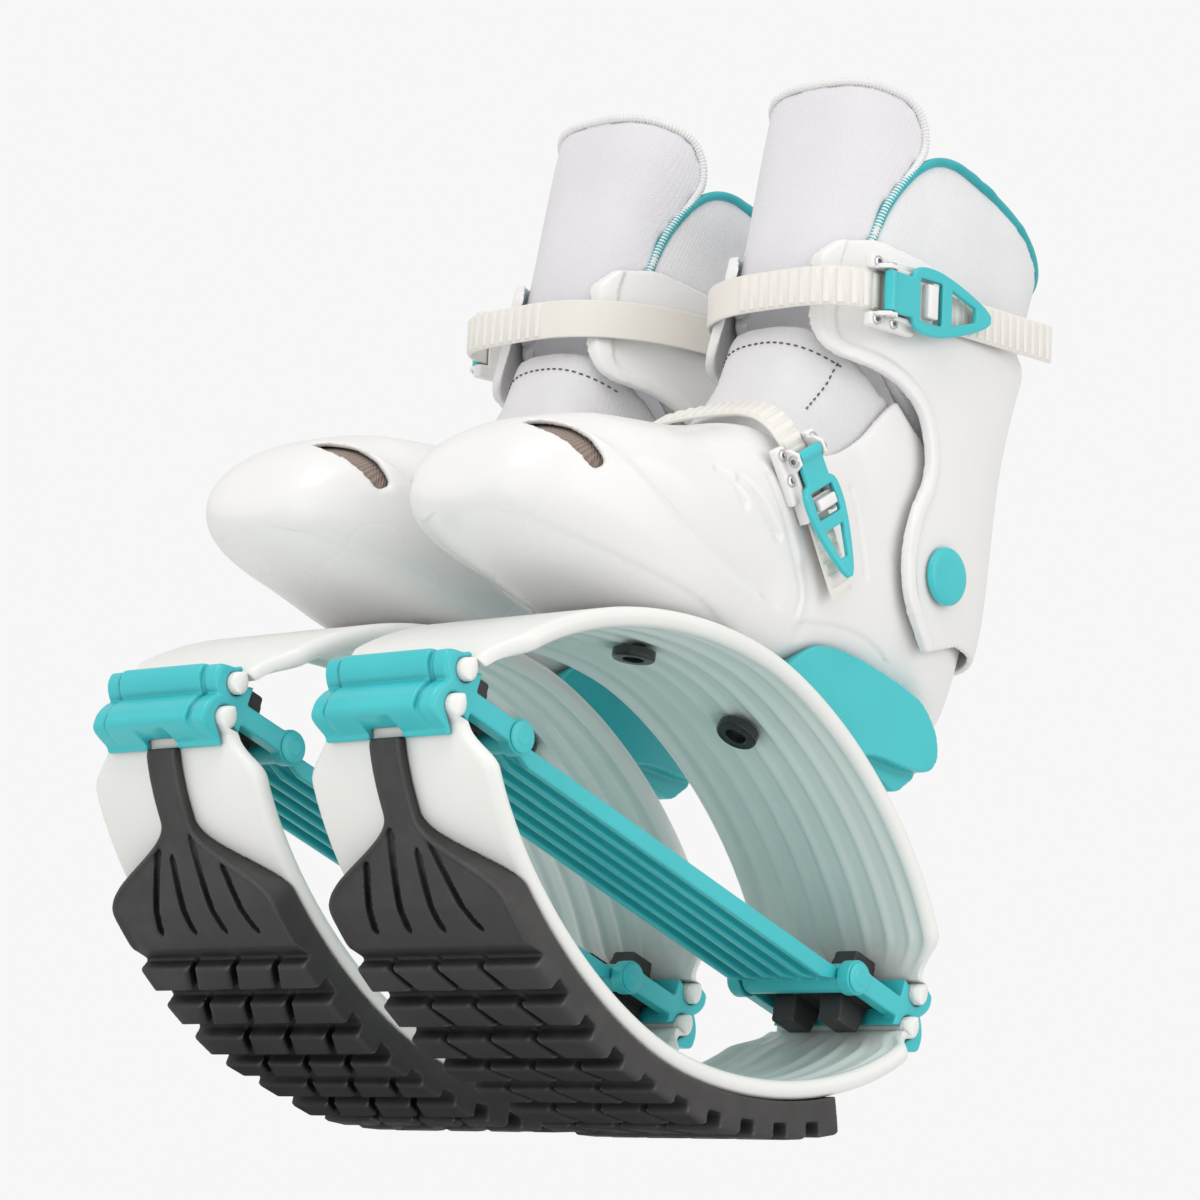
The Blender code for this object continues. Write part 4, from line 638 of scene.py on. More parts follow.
def merged(meshes):
    """Put several meshes in one."""
    shape = bmesh.new()
    for mesh in meshes:
        shape.from_mesh(mesh)
    mesh = bpy.data.meshes.new("merged")
    shape.to_mesh(mesh)
    shape.free()
    return mesh


def tagged(mesh, tag):
    """Mark a mesh's faces with a tag, so that they can be told apart after a Boolean."""
    material = bpy.data.materials.get(tag) or bpy.data.materials.new(tag)
    mesh.materials.clear()
    mesh.materials.append(material)
    return mesh


def carved(mesh, cutters, operation="DIFFERENCE"):
    """Cut a mesh by others, or keep what they share, with exact Booleans."""
    item = holder(mesh)
    others = []
    for cutter in cutters:
        other = holder(cutter)
        boolean = item.modifiers.new("carve", "BOOLEAN")
        boolean.operation = operation
        boolean.solver = "EXACT"
        boolean.material_mode = "TRANSFER"
        boolean.object = other
        others.append(other)
    result = evaluated_mesh(item)
    for other in others:
        bpy.data.objects.remove(other, do_unlink=True)
    return result


def softened(mesh, voxel, passes=3, source=None):
    """Give closed meshes that may overlap one skin, with soft edges. With a source, the skin is laid
    back on it before it is smoothed, which takes the remesh's faint terraces away."""
    mesh.materials.clear()
    item = holder(mesh)
    remesh = item.modifiers.new("skin", "REMESH")
    remesh.mode = "VOXEL"
    remesh.voxel_size = voxel
    if source:
        target = holder(source)
        wrap = item.modifiers.new("lay", "SHRINKWRAP")
        wrap.wrap_method = "NEAREST_SURFACEPOINT"
        wrap.target = target
    smooth = item.modifiers.new("soften", "SMOOTH")
    smooth.factor = 0.5
    smooth.iterations = passes
    made = evaluated_mesh(item)
    if source:
        bpy.data.objects.remove(target, do_unlink=True)
    return made


def places_of(mesh):
    """A mesh's points and normals as arrays."""
    places = np.empty(len(mesh.vertices) * 3)
    mesh.vertices.foreach_get("co", places)
    normals = np.empty(len(mesh.vertices) * 3)
    mesh.vertices.foreach_get("normal", normals)
    return places.reshape(-1, 3), normals.reshape(-1, 3)


def set_places(mesh, places):
    """Move a mesh's points."""
    mesh.vertices.foreach_set("co", places.ravel())
    mesh.update()


def curve_through(points, steps=6):
    """A smooth line through points of any dimension."""
    table = np.array(points, float)
    table = np.vstack([2 * table[0] - table[1], table, 2 * table[-1] - table[-2]])
    fine = []
    for index in range(len(points) - 1):
        before, near, far, after = table[index:index + 4]
        for step in range(steps):
            part = step / steps
            linear = (far - before) * part
            square = (2 * before - 5 * near + 4 * far - after) * part ** 2
            cube = (-before + 3 * near - 3 * far + after) * part ** 3
            fine.append((2 * near + linear + square + cube) / 2)
    fine.append(table[-2])
    return [tuple(float(value) for value in place) for place in fine]


def span(start, end, steps):
    """Evenly spaced values from one to another, both included."""
    return [start + (end - start) * step / steps for step in range(steps + 1)]


def arc(centre, radius, start_degrees, end_degrees, steps):
    """Points on a part of a circle; in side view 0 degrees is towards +Y and 90 is up."""
    points = []
    for degrees in span(start_degrees, end_degrees, steps):
        angle = math.radians(degrees)
        points.append((centre[0] + radius * math.cos(angle), centre[1] + radius * math.sin(angle)))
    return points


def smoothstep(value):
    """Ease from 0 to 1."""
    value = min(max(value, 0), 1)
    return value * value * (3 - 2 * value)


def squared(value, power):
    """Bend a circle's cosine or sine towards a square's, by a power over 2."""
    return math.copysign(abs(value) ** (2 / power), value)


def side_point(share):
    """Turn a share of the boot's length and of the shaft's height into Y and Z."""
    return (share[0] * BOOT_LENGTH, SHAFT_FOOT_HEIGHT + share[1] * SHAFT_HEIGHT)


def side_outline(shares):
    """Turn a table of shares into a side outline."""
    return [side_point(share) for share in shares]


def smooth_outline(shares):
    """Turn a table of shares into a smooth side outline."""
    return curve_through(side_outline(shares))


def closed_outline(shares):
    """Turn a table of shares into a smooth outline that comes back to its first point."""
    return smooth_outline(shares + shares[:1])[:-1]


class Track:
    """A flat curve that is measured along its length; out is to its left."""

    def __init__(self, places):
        self.places = places
        self.distances = [0.0]
        for near, far in zip(places, places[1:]):
            self.distances.append(self.distances[-1] + math.dist(near, far))
        self.length = self.distances[-1]

    def at(self, distance, out=0.0):
        """The point at a distance along the curve, moved outwards along the curve's normal."""
        index = int(np.searchsorted(self.distances, distance))
        index = min(max(index, 1), len(self.distances) - 1)
        low = self.distances[index - 1]
        part = (distance - low) / (self.distances[index] - low)
        near = Vector(self.places[index - 1])
        far = Vector(self.places[index])
        along = (far - near).normalized()
        return near.lerp(far, part) + Vector((-along.y, along.x)) * out

    def normal(self, distance):
        """The outward direction at a distance along the curve."""
        return self.at(distance, 1) - self.at(distance)

    def distance_at(self, reach):
        """The distance along the curve at a place on Y."""
        for near, far, start in zip(self.places, self.places[1:], self.distances):
            if near[0] <= reach < far[0]:
                return start + math.dist(near, far) * (reach - near[0]) / (far[0] - near[0])
        return self.length if reach > 0 else 0.0


# Lines that run along edges


def rim_lines(mesh, tag, other):
    """The lines where faces of two tags meet, each as its points in order."""
    names = [material.name if material else "" for material in mesh.materials]
    shape = welded(mesh)
    joins = {}
    for edge in shape.edges:
        kinds = {names[face.material_index] for face in edge.link_faces}
        if kinds == {tag, other}:
            for vertex, mate in (edge.verts, reversed(edge.verts)):
                joins.setdefault(vertex.index, []).append(mate.index)
    shape.verts.ensure_lookup_table()
    lines = []
    while joins:
        start = next((index for index, mates in joins.items() if len(mates) == 1), next(iter(joins)))
        line = [start]
        while line[-1] in joins:
            mates = joins.pop(line[-1])
            onward = [mate for mate in mates if mate in joins]
            if not onward:
                break
            line.append(onward[0])
        lines.append([shape.verts[index].co.copy() for index in line])
    shape.free()
    return lines


def resampled(line, pitch, passes=6):
    """The same line with evenly spaced points, and its small kinks smoothed."""
    places = np.array([tuple(place) for place in line])
    steps = np.linalg.norm(np.diff(places, axis=0), axis=1)
    along = np.concatenate([[0], np.cumsum(steps)])
    count = max(int(along[-1] / pitch), 2)
    wanted = np.linspace(0, along[-1], count + 1)
    places = np.stack([np.interp(wanted, along, places[:, axis]) for axis in range(3)], axis=1)
    for _ in range(passes):
        places[1:-1] = (places[:-2] + 2 * places[1:-1] + places[2:]) / 4
    return [Vector(place) for place in places]


def directions(line):
    """The way that a line runs at each of its points."""
    last = len(line) - 1
    spans = [(line[max(index - 1, 0)], line[min(index + 1, last)]) for index in range(len(line))]
    return [(after - before).normalized() for before, after in spans]


def surface_frame(line, tree):
    """For each point of a line: its direction, the surface's normal, and the way across the line."""
    frames = []
    for place, along in zip(line, directions(line)):
        normal = tree.find_nearest(place)[1]
        frames.append((along, normal, along.cross(normal).normalized()))
    return frames


def moved_line(line, tree, sideways):
    """A line moved sideways over a surface."""
    frames = surface_frame(line, tree)
    return [tree.find_nearest(place + frame[2] * sideways)[0] for place, frame in zip(line, frames)]


def tube(line, radius, facets, rib=0.0, rib_pitch=1.0):
    """A round cord along a line, plain or ribbed, with closed ends."""
    rings = []
    reference = Vector((1, 0, 0))
    distance = 0.0
    for index, (place, along) in enumerate(zip(line, directions(line))):
        across = (reference - along * reference.dot(along)).normalized()
        up = along.cross(across)
        reference = across
        distance += (place - line[max(index - 1, 0)]).length
        from_end = min(index, len(line) - 1 - index)
        wide = radius * min(1, 0.55 + 0.25 * from_end)
        wide += rib * math.sin(2 * math.pi * distance / rib_pitch)
        ring = []
        for step in range(facets):
            angle = 2 * math.pi * step / facets
            ring.append(place + (across * math.cos(angle) + up * math.sin(angle)) * wide)
        rings.append(ring)
    return loft(rings)


def stitches(line, tree, out=0.0):
    """A row of short raised threads along a line on a surface."""
    shape = bmesh.new()
    line = resampled(line, STITCH_PITCH, 0)
    for place, (along, normal, across) in zip(line, surface_frame(line, tree)):
        rings = []
        for share, size in ((-0.5, 0.35), (-0.3, 1.0), (0.3, 1.0), (0.5, 0.35)):
            centre = place + along * STITCH_LENGTH * share + normal * out
            ring = []
            for step in range(6):
                angle = math.pi * step / 3
                spoke = across * math.cos(angle) + normal * math.sin(angle)
                ring.append(centre + spoke * STITCH_RADIUS * size)
            rings.append(ring)
        add_loft(shape, rings)
    return finished(shape)


def tree_of(mesh):
    """A search tree for a mesh's surface."""
    shape = bmesh.new()
    shape.from_mesh(mesh)
    tree = BVHTree.FromBMesh(shape)
    shape.free()
    return tree


def engraved(mesh, lines):
    """Press grooves and soft ledges into a mesh's two sides, along lines drawn in side view."""
    places, normals = places_of(mesh)
    outward = normals[:, 0] * np.sign(places[:, 0])
    side = np.clip((np.abs(places[:, 0]) - BOOT_LINE_START) / BOOT_LINE_START, 0, 1)
    side *= np.clip((outward + 0.15) / 0.3, 0, 1)
    flat = places[:, 1:3]
    shift = np.zeros(len(places))
    for line, depth, width, ledge, spread in lines:
        points = np.array(curve_through(line)) + np.array((0, MIDDLE_HEIGHT))
        nearest = np.full(len(places), np.inf)
        signed = np.zeros(len(places))
        for near, far in zip(points, points[1:]):
            run = far - near
            part = np.clip(((flat - near) @ run) / (run @ run), 0, 1)
            gap = flat - (near + part[:, None] * run)
            distance = np.hypot(gap[:, 0], gap[:, 1])
            closer = distance < nearest
            turn = run[0] * gap[:, 1] - run[1] * gap[:, 0]
            nearest[closer] = distance[closer]
            signed[closer] = np.sign(turn[closer]) * distance[closer]
        shift -= depth * np.exp(-(nearest / width) ** 2)
        rise = 0.5 + 0.5 * np.tanh(signed / width)
        shift += ledge * rise * np.exp(-(nearest / spread) ** 2)
    set_places(mesh, places + normals * (shift * side)[:, None])
    return mesh


# Materials


class Finish:
    """A material that is being made: a Principled shader and the nodes that feed it."""

    def __init__(self, name, colour, roughness, metallic=0.0):
        self.material = bpy.data.materials.new(name)
        self.material.use_nodes = True
        self.tree = self.material.node_tree
        self.shader = self.tree.nodes["Principled BSDF"]
        self.set("Base Color", (*colour, 1))
        self.set("Roughness", roughness)
        self.set("Metallic", metallic)
        self.colour = colour
        self.places = self.tree.nodes.new("ShaderNodeTexCoord").outputs["Object"]
        self.colour_from = None
        self.heights = []

    def set(self, socket, value):
        """Set one of the shader's own numbers."""
        self.shader.inputs[socket].default_value = value

    def node(self, kind, **settings):
        """Add a node, with some of its sockets set."""
        made = self.tree.nodes.new(kind)
        for name, value in settings.items():
            made.inputs[name].default_value = value
        return made

    def feed(self, value, node, socket):
        """Lead a value into one of a node's sockets."""
        self.tree.links.new(value, node.inputs[socket])

    def pattern(self, mapping, pattern):
        """The value of a pattern that is laid out by a mapping of the piece's own places."""
        self.feed(self.places, mapping, "Vector")
        self.feed(mapping.outputs["Vector"], pattern, "Vector")
        return pattern.outputs["Fac"]

    def noise(self, scale, detail, stretch=(1, 1, 1)):
        """A noise pattern's value."""
        mapping = self.node("ShaderNodeMapping", Scale=stretch)
        return self.pattern(mapping, self.node("ShaderNodeTexNoise", Scale=scale, Detail=detail))

    def bands(self, pitch, direction, turn_degrees=0.0, wobble=0.0):
        """Even bands with a real pitch across X, Y or Z."""
        mapping = self.node("ShaderNodeMapping", Rotation=(0, 0, math.radians(turn_degrees)))
        wave = self.node("ShaderNodeTexWave", Scale=WAVE_SCALE / pitch, Distortion=wobble)
        wave.bands_direction = direction
        return self.pattern(mapping, wave)

    def ranged(self, value, low, high, from_low=0.3, from_high=0.7):
        """Spread a value over a range."""
        ends = {"From Min": from_low, "From Max": from_high, "To Min": low, "To Max": high}
        spread = self.node("ShaderNodeMapRange", **ends)
        spread.interpolation_type = "SMOOTHSTEP"
        self.feed(value, spread, "Value")
        return spread.outputs["Result"]

    def tint(self, value, colour):
        """Mix another colour in by a value from 0 to 1."""
        mix = self.tree.nodes.new("ShaderNodeMix")
        mix.data_type = "RGBA"
        self.feed(value, mix, "Factor")
        if self.colour_from:
            self.feed(self.colour_from, mix, "A")
        else:
            mix.inputs["A"].default_value = (*self.colour, 1)
        mix.inputs["B"].default_value = (*colour, 1)
        self.colour_from = mix.outputs["Result"]

    def worn_edges(self, colour, amount):
        """Mix a colour in where the surface bends sharply outwards."""
        point = self.tree.nodes.new("ShaderNodeNewGeometry").outputs["Pointiness"]
        self.tint(self.ranged(point, 0, amount, 0.52, 0.60), colour)

    def painted_groove_shade(self, colour, amount):
        """Mix a colour in where the surface bends sharply inwards, as painted shade in grooves."""
        point = self.tree.nodes.new("ShaderNodeNewGeometry").outputs["Pointiness"]
        self.tint(self.ranged(point, amount, 0, 0.42, 0.49), colour)

    def shaded_corners(self, colour, amount, distance):
        """Mix a colour in where other surfaces stand close by, as in grooves and corners."""
        close = self.node("ShaderNodeAmbientOcclusion", Distance=distance)
        close.samples = 6
        self.tint(self.ranged(close.outputs["AO"], amount, 0, 0.35, 0.95), colour)

    def rough(self, value, low, high):
        """Vary the roughness by a value."""
        self.feed(self.ranged(value, low, high), self.shader, "Roughness")

    def bump(self, value, height, strength=1.0):
        """Raise the surface by a value, to a real height."""
        self.heights.append((value, height, strength))

    def done(self):
        """Join the colour and the bumps to the shader, and give the material."""
        if self.colour_from:
            self.feed(self.colour_from, self.shader, "Base Color")
        normal = None
        for value, height, strength in self.heights:
            node = self.node("ShaderNodeBump", Strength=strength, Distance=height)
            self.feed(value, node, "Height")
            if normal:
                self.feed(normal, node, "Normal")
            normal = node.outputs["Normal"]
        if normal:
            self.feed(normal, self.shader, "Normal")
        return self.material


def moulded(name, colour, shade, roughness, wear=0.25, corner=0.4, groove_shade=0.8):
    """Moulded plastic: faint colour drift, fine grain, painted shade in grooves and corners, and brighter
    worn edges.
    """
    finish = Finish(name, colour, roughness)
    drift = finish.noise(14, 3)
    finish.tint(finish.ranged(drift, 0, 0.5), shade)
    lighter = tuple(min(part * 1.25 + 0.03, 0.92) for part in colour)
    finish.worn_edges(lighter, wear)
    # Painted shade: the shade colour in grooves, and a darker one in corners
    finish.painted_groove_shade(shade, groove_shade)
    finish.shaded_corners(tuple(part * 0.6 for part in shade), corner, CORNER_REACH)
    grain = finish.noise(700, 1)
    finish.rough(finish.noise(12, 2), roughness - 0.03, roughness + 0.04)
    finish.bump(grain, GRAIN_HEIGHT, 0.15)
    finish.set("Coat Weight", 0.12)
    finish.set("Coat Roughness", 0.15)
    return finish


def white_gloss():
    """The boot's white plastic."""
    return moulded("white_gloss", (0.87, 0.865, 0.86), (0.84, 0.833, 0.825), 0.27, 0, 0.45, 0).done()


def sea_green():
    """The sea-green plastic of clips, levers, discs and pads."""
    return moulded("sea_green", (0.050, 0.570, 0.610), (0.025, 0.470, 0.520), 0.32, 0.5, 0.85).done()


def milky_rim():
    """The milky plastic of the springs' outer faces and rims."""
    finish = moulded("milky_rim", (0.87, 0.875, 0.855), (0.81, 0.825, 0.80), 0.34, 0.3)
    finish.set("Subsurface Weight", 0.25)
    finish.set("Subsurface Radius", MILKY_DEPTHS)
    return finish.done()


def milky_inside():
    """The springs' ribbed insides, in painted greenish light and shade that stand for teal-tinted light
    through the milky plastic, greener in their channels.
    """
    finish = moulded("milky_inside", (0.82, 0.865, 0.84), (0.66, 0.76, 0.72), 0.38, 0.5, 0.7)
    finish.bump(finish.noise(25, 2, (1, 0.12, 1)), RIPPLE_HEIGHT, 0.3)
    return finish.done()


def black_rubber():
    """The tread's and the stops' rubber."""
    finish = Finish("black_rubber", (0.046, 0.044, 0.044), 0.55)
    finish.tint(finish.ranged(finish.noise(20, 4), 0, 0.6), (0.040, 0.039, 0.039))
    finish.worn_edges((0.17, 0.165, 0.16), 0.6)
    # Painted shade: near-black in grooves and corners
    finish.painted_groove_shade((0.018, 0.018, 0.018), 0.8)
    finish.shaded_corners((0.006, 0.006, 0.007), 1.0, RUBBER_CORNER_REACH)
    finish.rough(finish.noise(80, 5), 0.52, 0.72)
    finish.bump(finish.noise(1100, 3), RUBBER_GRAIN_HEIGHT, 0.5)
    return finish.done()


def black_gloss():
    """The bolts' black caps."""
    finish = Finish("black_gloss", (0.016, 0.016, 0.017), 0.24)
    finish.worn_edges((0.09, 0.09, 0.09), 0.6)
    finish.rough(finish.noise(90, 4), 0.18, 0.32)
    finish.bump(finish.noise(900, 2), CAP_GRAIN_HEIGHT, 0.4)
    return finish.done()


def cream_plastic():
    """The ladder straps."""
    return moulded("cream_plastic", (0.85, 0.825, 0.775), (0.74, 0.705, 0.64), 0.42, 0.4, 0.9).done()


def vent_mesh_dark():
    """The dark mesh cloth behind the toe vents."""
    finish = Finish("vent_mesh", (0.36, 0.28, 0.24), 0.8)
    finish.tint(finish.bands(VENT_MESH_PITCH, "X"), (0.24, 0.175, 0.145))
    finish.bump(finish.bands(VENT_MESH_PITCH, "Y"), VENT_MESH_HEIGHT)
    finish.set("Sheen Weight", 0.2)
    return finish.done()


def padded_cloth(name, colour, shade):
    """A tight woven cover over foam."""
    finish = Finish(name, colour, 0.78)
    finish.tint(finish.ranged(finish.noise(30, 5), 0, 0.55), shade)
    across = finish.bands(WEAVE_PITCH, "Z", wobble=0.6)
    along = finish.bands(WEAVE_PITCH, "X", 45, 0.6)
    finish.tint(finish.ranged(across, 0, 0.25), shade)
    finish.bump(across, WEAVE_HEIGHT, 0.5)
    finish.bump(along, WEAVE_HEIGHT, 0.5)
    finish.bump(finish.noise(70, 3), CLOTH_CREASE_HEIGHT, 0.25)
    finish.rough(finish.noise(120, 4), 0.7, 0.88)
    finish.set("Sheen Weight", 0.35)
    finish.set("Sheen Roughness", 0.4)
    return finish.done()


def thread(name, colour):
    """Sewing thread."""
    finish = Finish(name, colour, 0.7)
    finish.tint(finish.ranged(finish.noise(400, 3), 0, 0.6), tuple(part * 0.6 for part in colour))
    finish.bump(finish.noise(900, 3), THREAD_HEIGHT)
    finish.set("Sheen Weight", 0.2)
    return finish.done()


def steel():
    """Screws, rivets and pins."""
    finish = Finish("steel", (0.60, 0.60, 0.61), 0.28, 1.0)
    finish.rough(finish.noise(160, 5, (1, 1, 8)), 0.2, 0.42)
    # Painted shade: dark grey in grooves and hollows
    finish.painted_groove_shade((0.10, 0.10, 0.10), 0.8)
    finish.bump(finish.noise(700, 3), STEEL_GRAIN_HEIGHT, 0.5)
    return finish.done()


WHITE_GLOSS = white_gloss()
SEA_GREEN = sea_green()
MILKY_RIM = milky_rim()
MILKY_INSIDE = milky_inside()
BLACK_RUBBER = black_rubber()
BLACK_GLOSS = black_gloss()
CREAM_PLASTIC = cream_plastic()
VENT_MESH = vent_mesh_dark()
TONGUE_CLOTH = padded_cloth("tongue_cloth", (0.76, 0.75, 0.785), (0.70, 0.69, 0.725))
COLLAR_CLOTH = padded_cloth("collar_cloth", (0.84, 0.84, 0.86), (0.76, 0.76, 0.78))
LINER_CLOTH = padded_cloth("liner_cloth", (0.78, 0.775, 0.79), (0.70, 0.695, 0.71))
BINDING_CLOTH = padded_cloth("binding_cloth", (0.86, 0.86, 0.86), (0.72, 0.72, 0.74))
PIPING_CLOTH = padded_cloth("piping_cloth", (0.045, 0.46, 0.50), (0.02, 0.33, 0.37))
DARK_THREAD = thread("dark_thread", (0.10, 0.095, 0.09))
STEEL = steel()


def publish(name, mesh, body, materials, nodes=()):
    """Show a piece on both shoes, the right one as a mirror image, and give both objects."""
    made = {}
    for side, word in SIDES:
        twin = mesh.copy()
        if side < 0:
            mirrored(twin, MIRROR_SIDE)
        twin.transform(Matrix.Translation((side * PAIR_SPACING / 2, side * PAIR_STAGGER / 2, 0)))
        twin.materials.clear()
        for material in materials:
            twin.materials.append(material)
        twin.shade_smooth()
        item = placed(f"{name}_{word}", twin)
        if body == "soles":
            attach(item, body)
        else:
            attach(item, f"{body}_{word}")
        if nodes:
            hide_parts(*[f"{node}_{word}" for node in nodes])
        made[word] = item
    return made


def creased(mesh, degrees=35):
    """Keep sharp edges sharp under smooth shading."""
    mesh.shade_smooth()
    mesh.set_sharp_from_angle(angle=math.radians(degrees))
    return mesh


# Springs


def oval_places():
    """The outer face of the upper spring in side view, from its front end to its rear end."""
    places = [(-SPRING_REACH, MIDDLE_HEIGHT + SPRING_END_HEIGHT)]
    for index in range(CURVE_SAMPLES + 1):
        angle = math.pi * (1 - index / CURVE_SAMPLES)
        reach = squared(math.cos(angle), SPRING_LENGTH_POWER)
        rise = squared(math.sin(angle), SPRING_RISE_POWER)
        places.append((SPRING_REACH * reach, MIDDLE_HEIGHT + (SPRING_CURVE_START + SPRING_RISE * rise)))
    places.append((SPRING_REACH, MIDDLE_HEIGHT + SPRING_END_HEIGHT))
    return places


OVAL = Track(oval_places())


def spring_section():
    """Half of a spring's section from its outer face round its rim to its middle: distance from
    the middle, depth, and the side of the bead that the point goes to."""
    half = SPRING_WIDTH / 2
    edge = SPRING_RIM_DEPTH / 2
    points = []
    for step in range(9):
        angle = math.pi * (step / 8 - 0.5)
        points.append((half - edge + edge * math.cos(angle), edge + edge * math.sin(angle)))
    floor = half - SPRING_RIM_WIDTH
    for step in range(1, 5):
        share = step / 4
        drop = SPRING_RIM_DEPTH - (SPRING_RIM_DEPTH - SPRING_THICKNESS) * smoothstep(share)
        points.append((half - edge - (half - edge - floor) * share, drop))
    count = 30
    for step in range(1, count + 1):
        place = floor * (1 - step / count)
        rib = max(math.cos(2 * math.pi * place / SPRING_RIB_PITCH), 0) ** SPRING_RIB_POWER
        points.append((place, SPRING_THICKNESS + SPRING_RIB_HEIGHT * rib))
    section = [(place / half, depth) for place, depth in points]
    sides = [
        1 - 2 * min(depth / SPRING_RIM_DEPTH, 1) if place > SPRING_RIM_share else -1
        for place, depth in section
    ]
    return [(place, depth, side) for (place, depth), side in zip(section, sides)]


SPRING_SECTION = spring_section()


def spring_ring(distance):
    """One ring of a spring: a round bead at its ends, then a rimmed and ribbed strip."""
    radius = SPRING_BEAD_RADIUS
    from_end = min(distance, OVAL.length - distance)
    widening = smoothstep((from_end - SPRING_NECK_LENGTH) / SPRING_SHOULDER_LENGTH)
    half_width = (SPRING_NECK_WIDTH + (SPRING_WIDTH - SPRING_NECK_WIDTH) * widening) / 2
    strip = smoothstep((from_end - 2 * radius) / (SPRING_NECK_LENGTH - 2 * radius))
    rise = radius * radius - (from_end - radius) ** 2
    bead = max(math.sqrt(max(rise, 0)), SPRING_THICKNESS / 4)
    right = []
    for width_share, depth, bead_side in SPRING_SECTION:
        flat = min(depth, SPRING_THICKNESS)
        ribbed = flat + (depth - flat) * widening
        out = -ribbed * strip + (bead * bead_side - SPRING_BEAD_SETBACK) * (1 - strip)
        place = OVAL.at(distance, out)
        if from_end < 2 * radius:
            end = 1 if distance > OVAL.length / 2 else -1
            place = Vector((end * (SPRING_REACH + out), MIDDLE_HEIGHT + SPRING_END_HEIGHT + from_end))
        right.append((half_width * width_share, place.x, place.y))
    left = [(-x, y, z) for x, y, z in reversed(right[:-1])]
    return right + left


def spring_mesh():
    """The upper spring of an oval, lofted along its curve."""
    radius = SPRING_BEAD_RADIUS
    shoulder = SPRING_NECK_LENGTH + SPRING_SHOULDER_LENGTH
    near = [radius * part / 5 for part in (0.2, 1, 2, 3, 4, 5, 6, 7, 8, 9, 9.8)]
    near += span(2 * radius, shoulder, 12)[1:]
    middle = span(shoulder, OVAL.length - shoulder, SPRING_STEPS)[1:-1]
    stations = near + middle + [OVAL.length - distance for distance in reversed(near)]
    return loft([spring_ring(distance) for distance in stations])


def bolt_frame(side):
    """Where a mounting bolt's axis meets the spring's outer face, and the way it points."""
    distance = OVAL.distance_at(side * BOLT_SPREAD / 2)
    foot = OVAL.at(distance)
    normal = OVAL.normal(distance)
    return Vector((0, foot.x, foot.y)), Vector((0, normal.x, normal.y))


def bolt_hole(side):
    """The hole of a mounting bolt, through the spring and the boot's sole."""
    foot, normal = bolt_frame(side)
    return rod_through(foot, normal * OVERRUN, BOLT_SHANK_RADIUS + CLEARANCE)


def spring_envelope(gap=CLEARANCE):
    """The space of the spring's outer face and all below it, which what rests on it is cut by."""
    outline = [tuple(OVAL.at(distance, gap)) for distance in span(0, OVAL.length, ENVELOPE_STEPS)]
    return side_prism(outline, -SPRING_WIDTH, SPRING_WIDTH)


def paint_inside(mesh):
    """Give the faces that look into the oval the second material, with its painted greenish light and
    shade.
    """
    for face in mesh.polygons:
        y, z = face.center.y, face.center.z
        inward = Vector((0, -y / SPRING_REACH, (MIDDLE_HEIGHT - z) / SPRING_RISE))
        inner = abs(face.center.x) < SPRING_WIDTH / 2 - SPRING_RIM_DEPTH / 2
        if inner and face.normal.dot(inward) > 0 and abs(y) < SPRING_REACH - 3 * SPRING_BEAD_RADIUS:
            face.material_index = 1


def add_springs():
    """The two bowed springs of each shoe."""
    upper = carved(spring_mesh(), [bolt_hole(-1), bolt_hole(1)])
    lower = mirrored(spring_mesh(), MIRROR_HEIGHT)
    bead = SPRING_END_HEIGHT + SPRING_BEAD_RADIUS
    lower_bead = MIDDLE_HEIGHT - bead
    upper_bead = UPPER_SPRING_TOP - MIDDLE_HEIGHT - bead
    springs = (
        ("upper_spring", upper, "boot", "upper_spring_shell", UPPER_SPRING_TOP, upper_bead),
        ("lower_spring", lower, "soles", "lower_spring_shell", 0, lower_bead),
    )
    for name, mesh, body, node, anchor, reach in springs:
        mesh.materials.clear()
        mesh.materials.append(MILKY_RIM)
        mesh.materials.append(MILKY_INSIDE)
        paint_inside(mesh)
        creased(mesh, 50)
        squashed(show_painted(name, mesh, body, (node,)), anchor, reach)


def show_painted(name, mesh, body, nodes):
    """Show a piece that already has its materials."""
    indices = [face.material_index for face in mesh.polygons]
    made = publish(name, mesh, body, list(mesh.materials), nodes)
    for item in made.values():
        item.data.polygons.foreach_set("material_index", indices)
    return made


def squashed(made, anchor, reach):
    """Give each of both shoes' pieces a mesh of its own. The anchor and the reach are not used."""
    for word, item in made.items():
        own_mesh(item)


def add_mount_bolts():
    """Capped bolts whose heads show inside the oval."""
    seat = -(SPRING_THICKNESS + SPRING_RIB_HEIGHT + BOLT_SEAT_GAP)
    bottom = seat - BOLT_HEAD_HEIGHT
    bevel = BOLT_BEVEL
    for side, name in ((-1, "front_mount_bolt"), (1, "rear_mount_bolt")):
        profile = [(0, 0), (BOLT_SHANK_RADIUS, 0), (BOLT_SHANK_RADIUS, seat), (BOLT_HEAD_RADIUS, seat)]
        profile += arc((BOLT_HEAD_RADIUS - bevel, bottom + bevel), bevel, 0, -90, 4)
        profile += [
            (BOLT_SOCKET_RADIUS + bevel / 3, bottom), (BOLT_SOCKET_RADIUS, bottom + bevel / 3),
            (BOLT_SOCKET_RADIUS, bottom + BOLT_SOCKET_DEPTH), (0, bottom + BOLT_SOCKET_DEPTH),
        ]
        mesh = turned(profile)
        foot, normal = bolt_frame(side)
        mesh.transform(Matrix.Translation(foot) @ pointing(normal, "X"))
        publish(name.replace("mount", "capped"), creased(mesh), "boot", (BLACK_GLOSS,), (name,))


# Tread


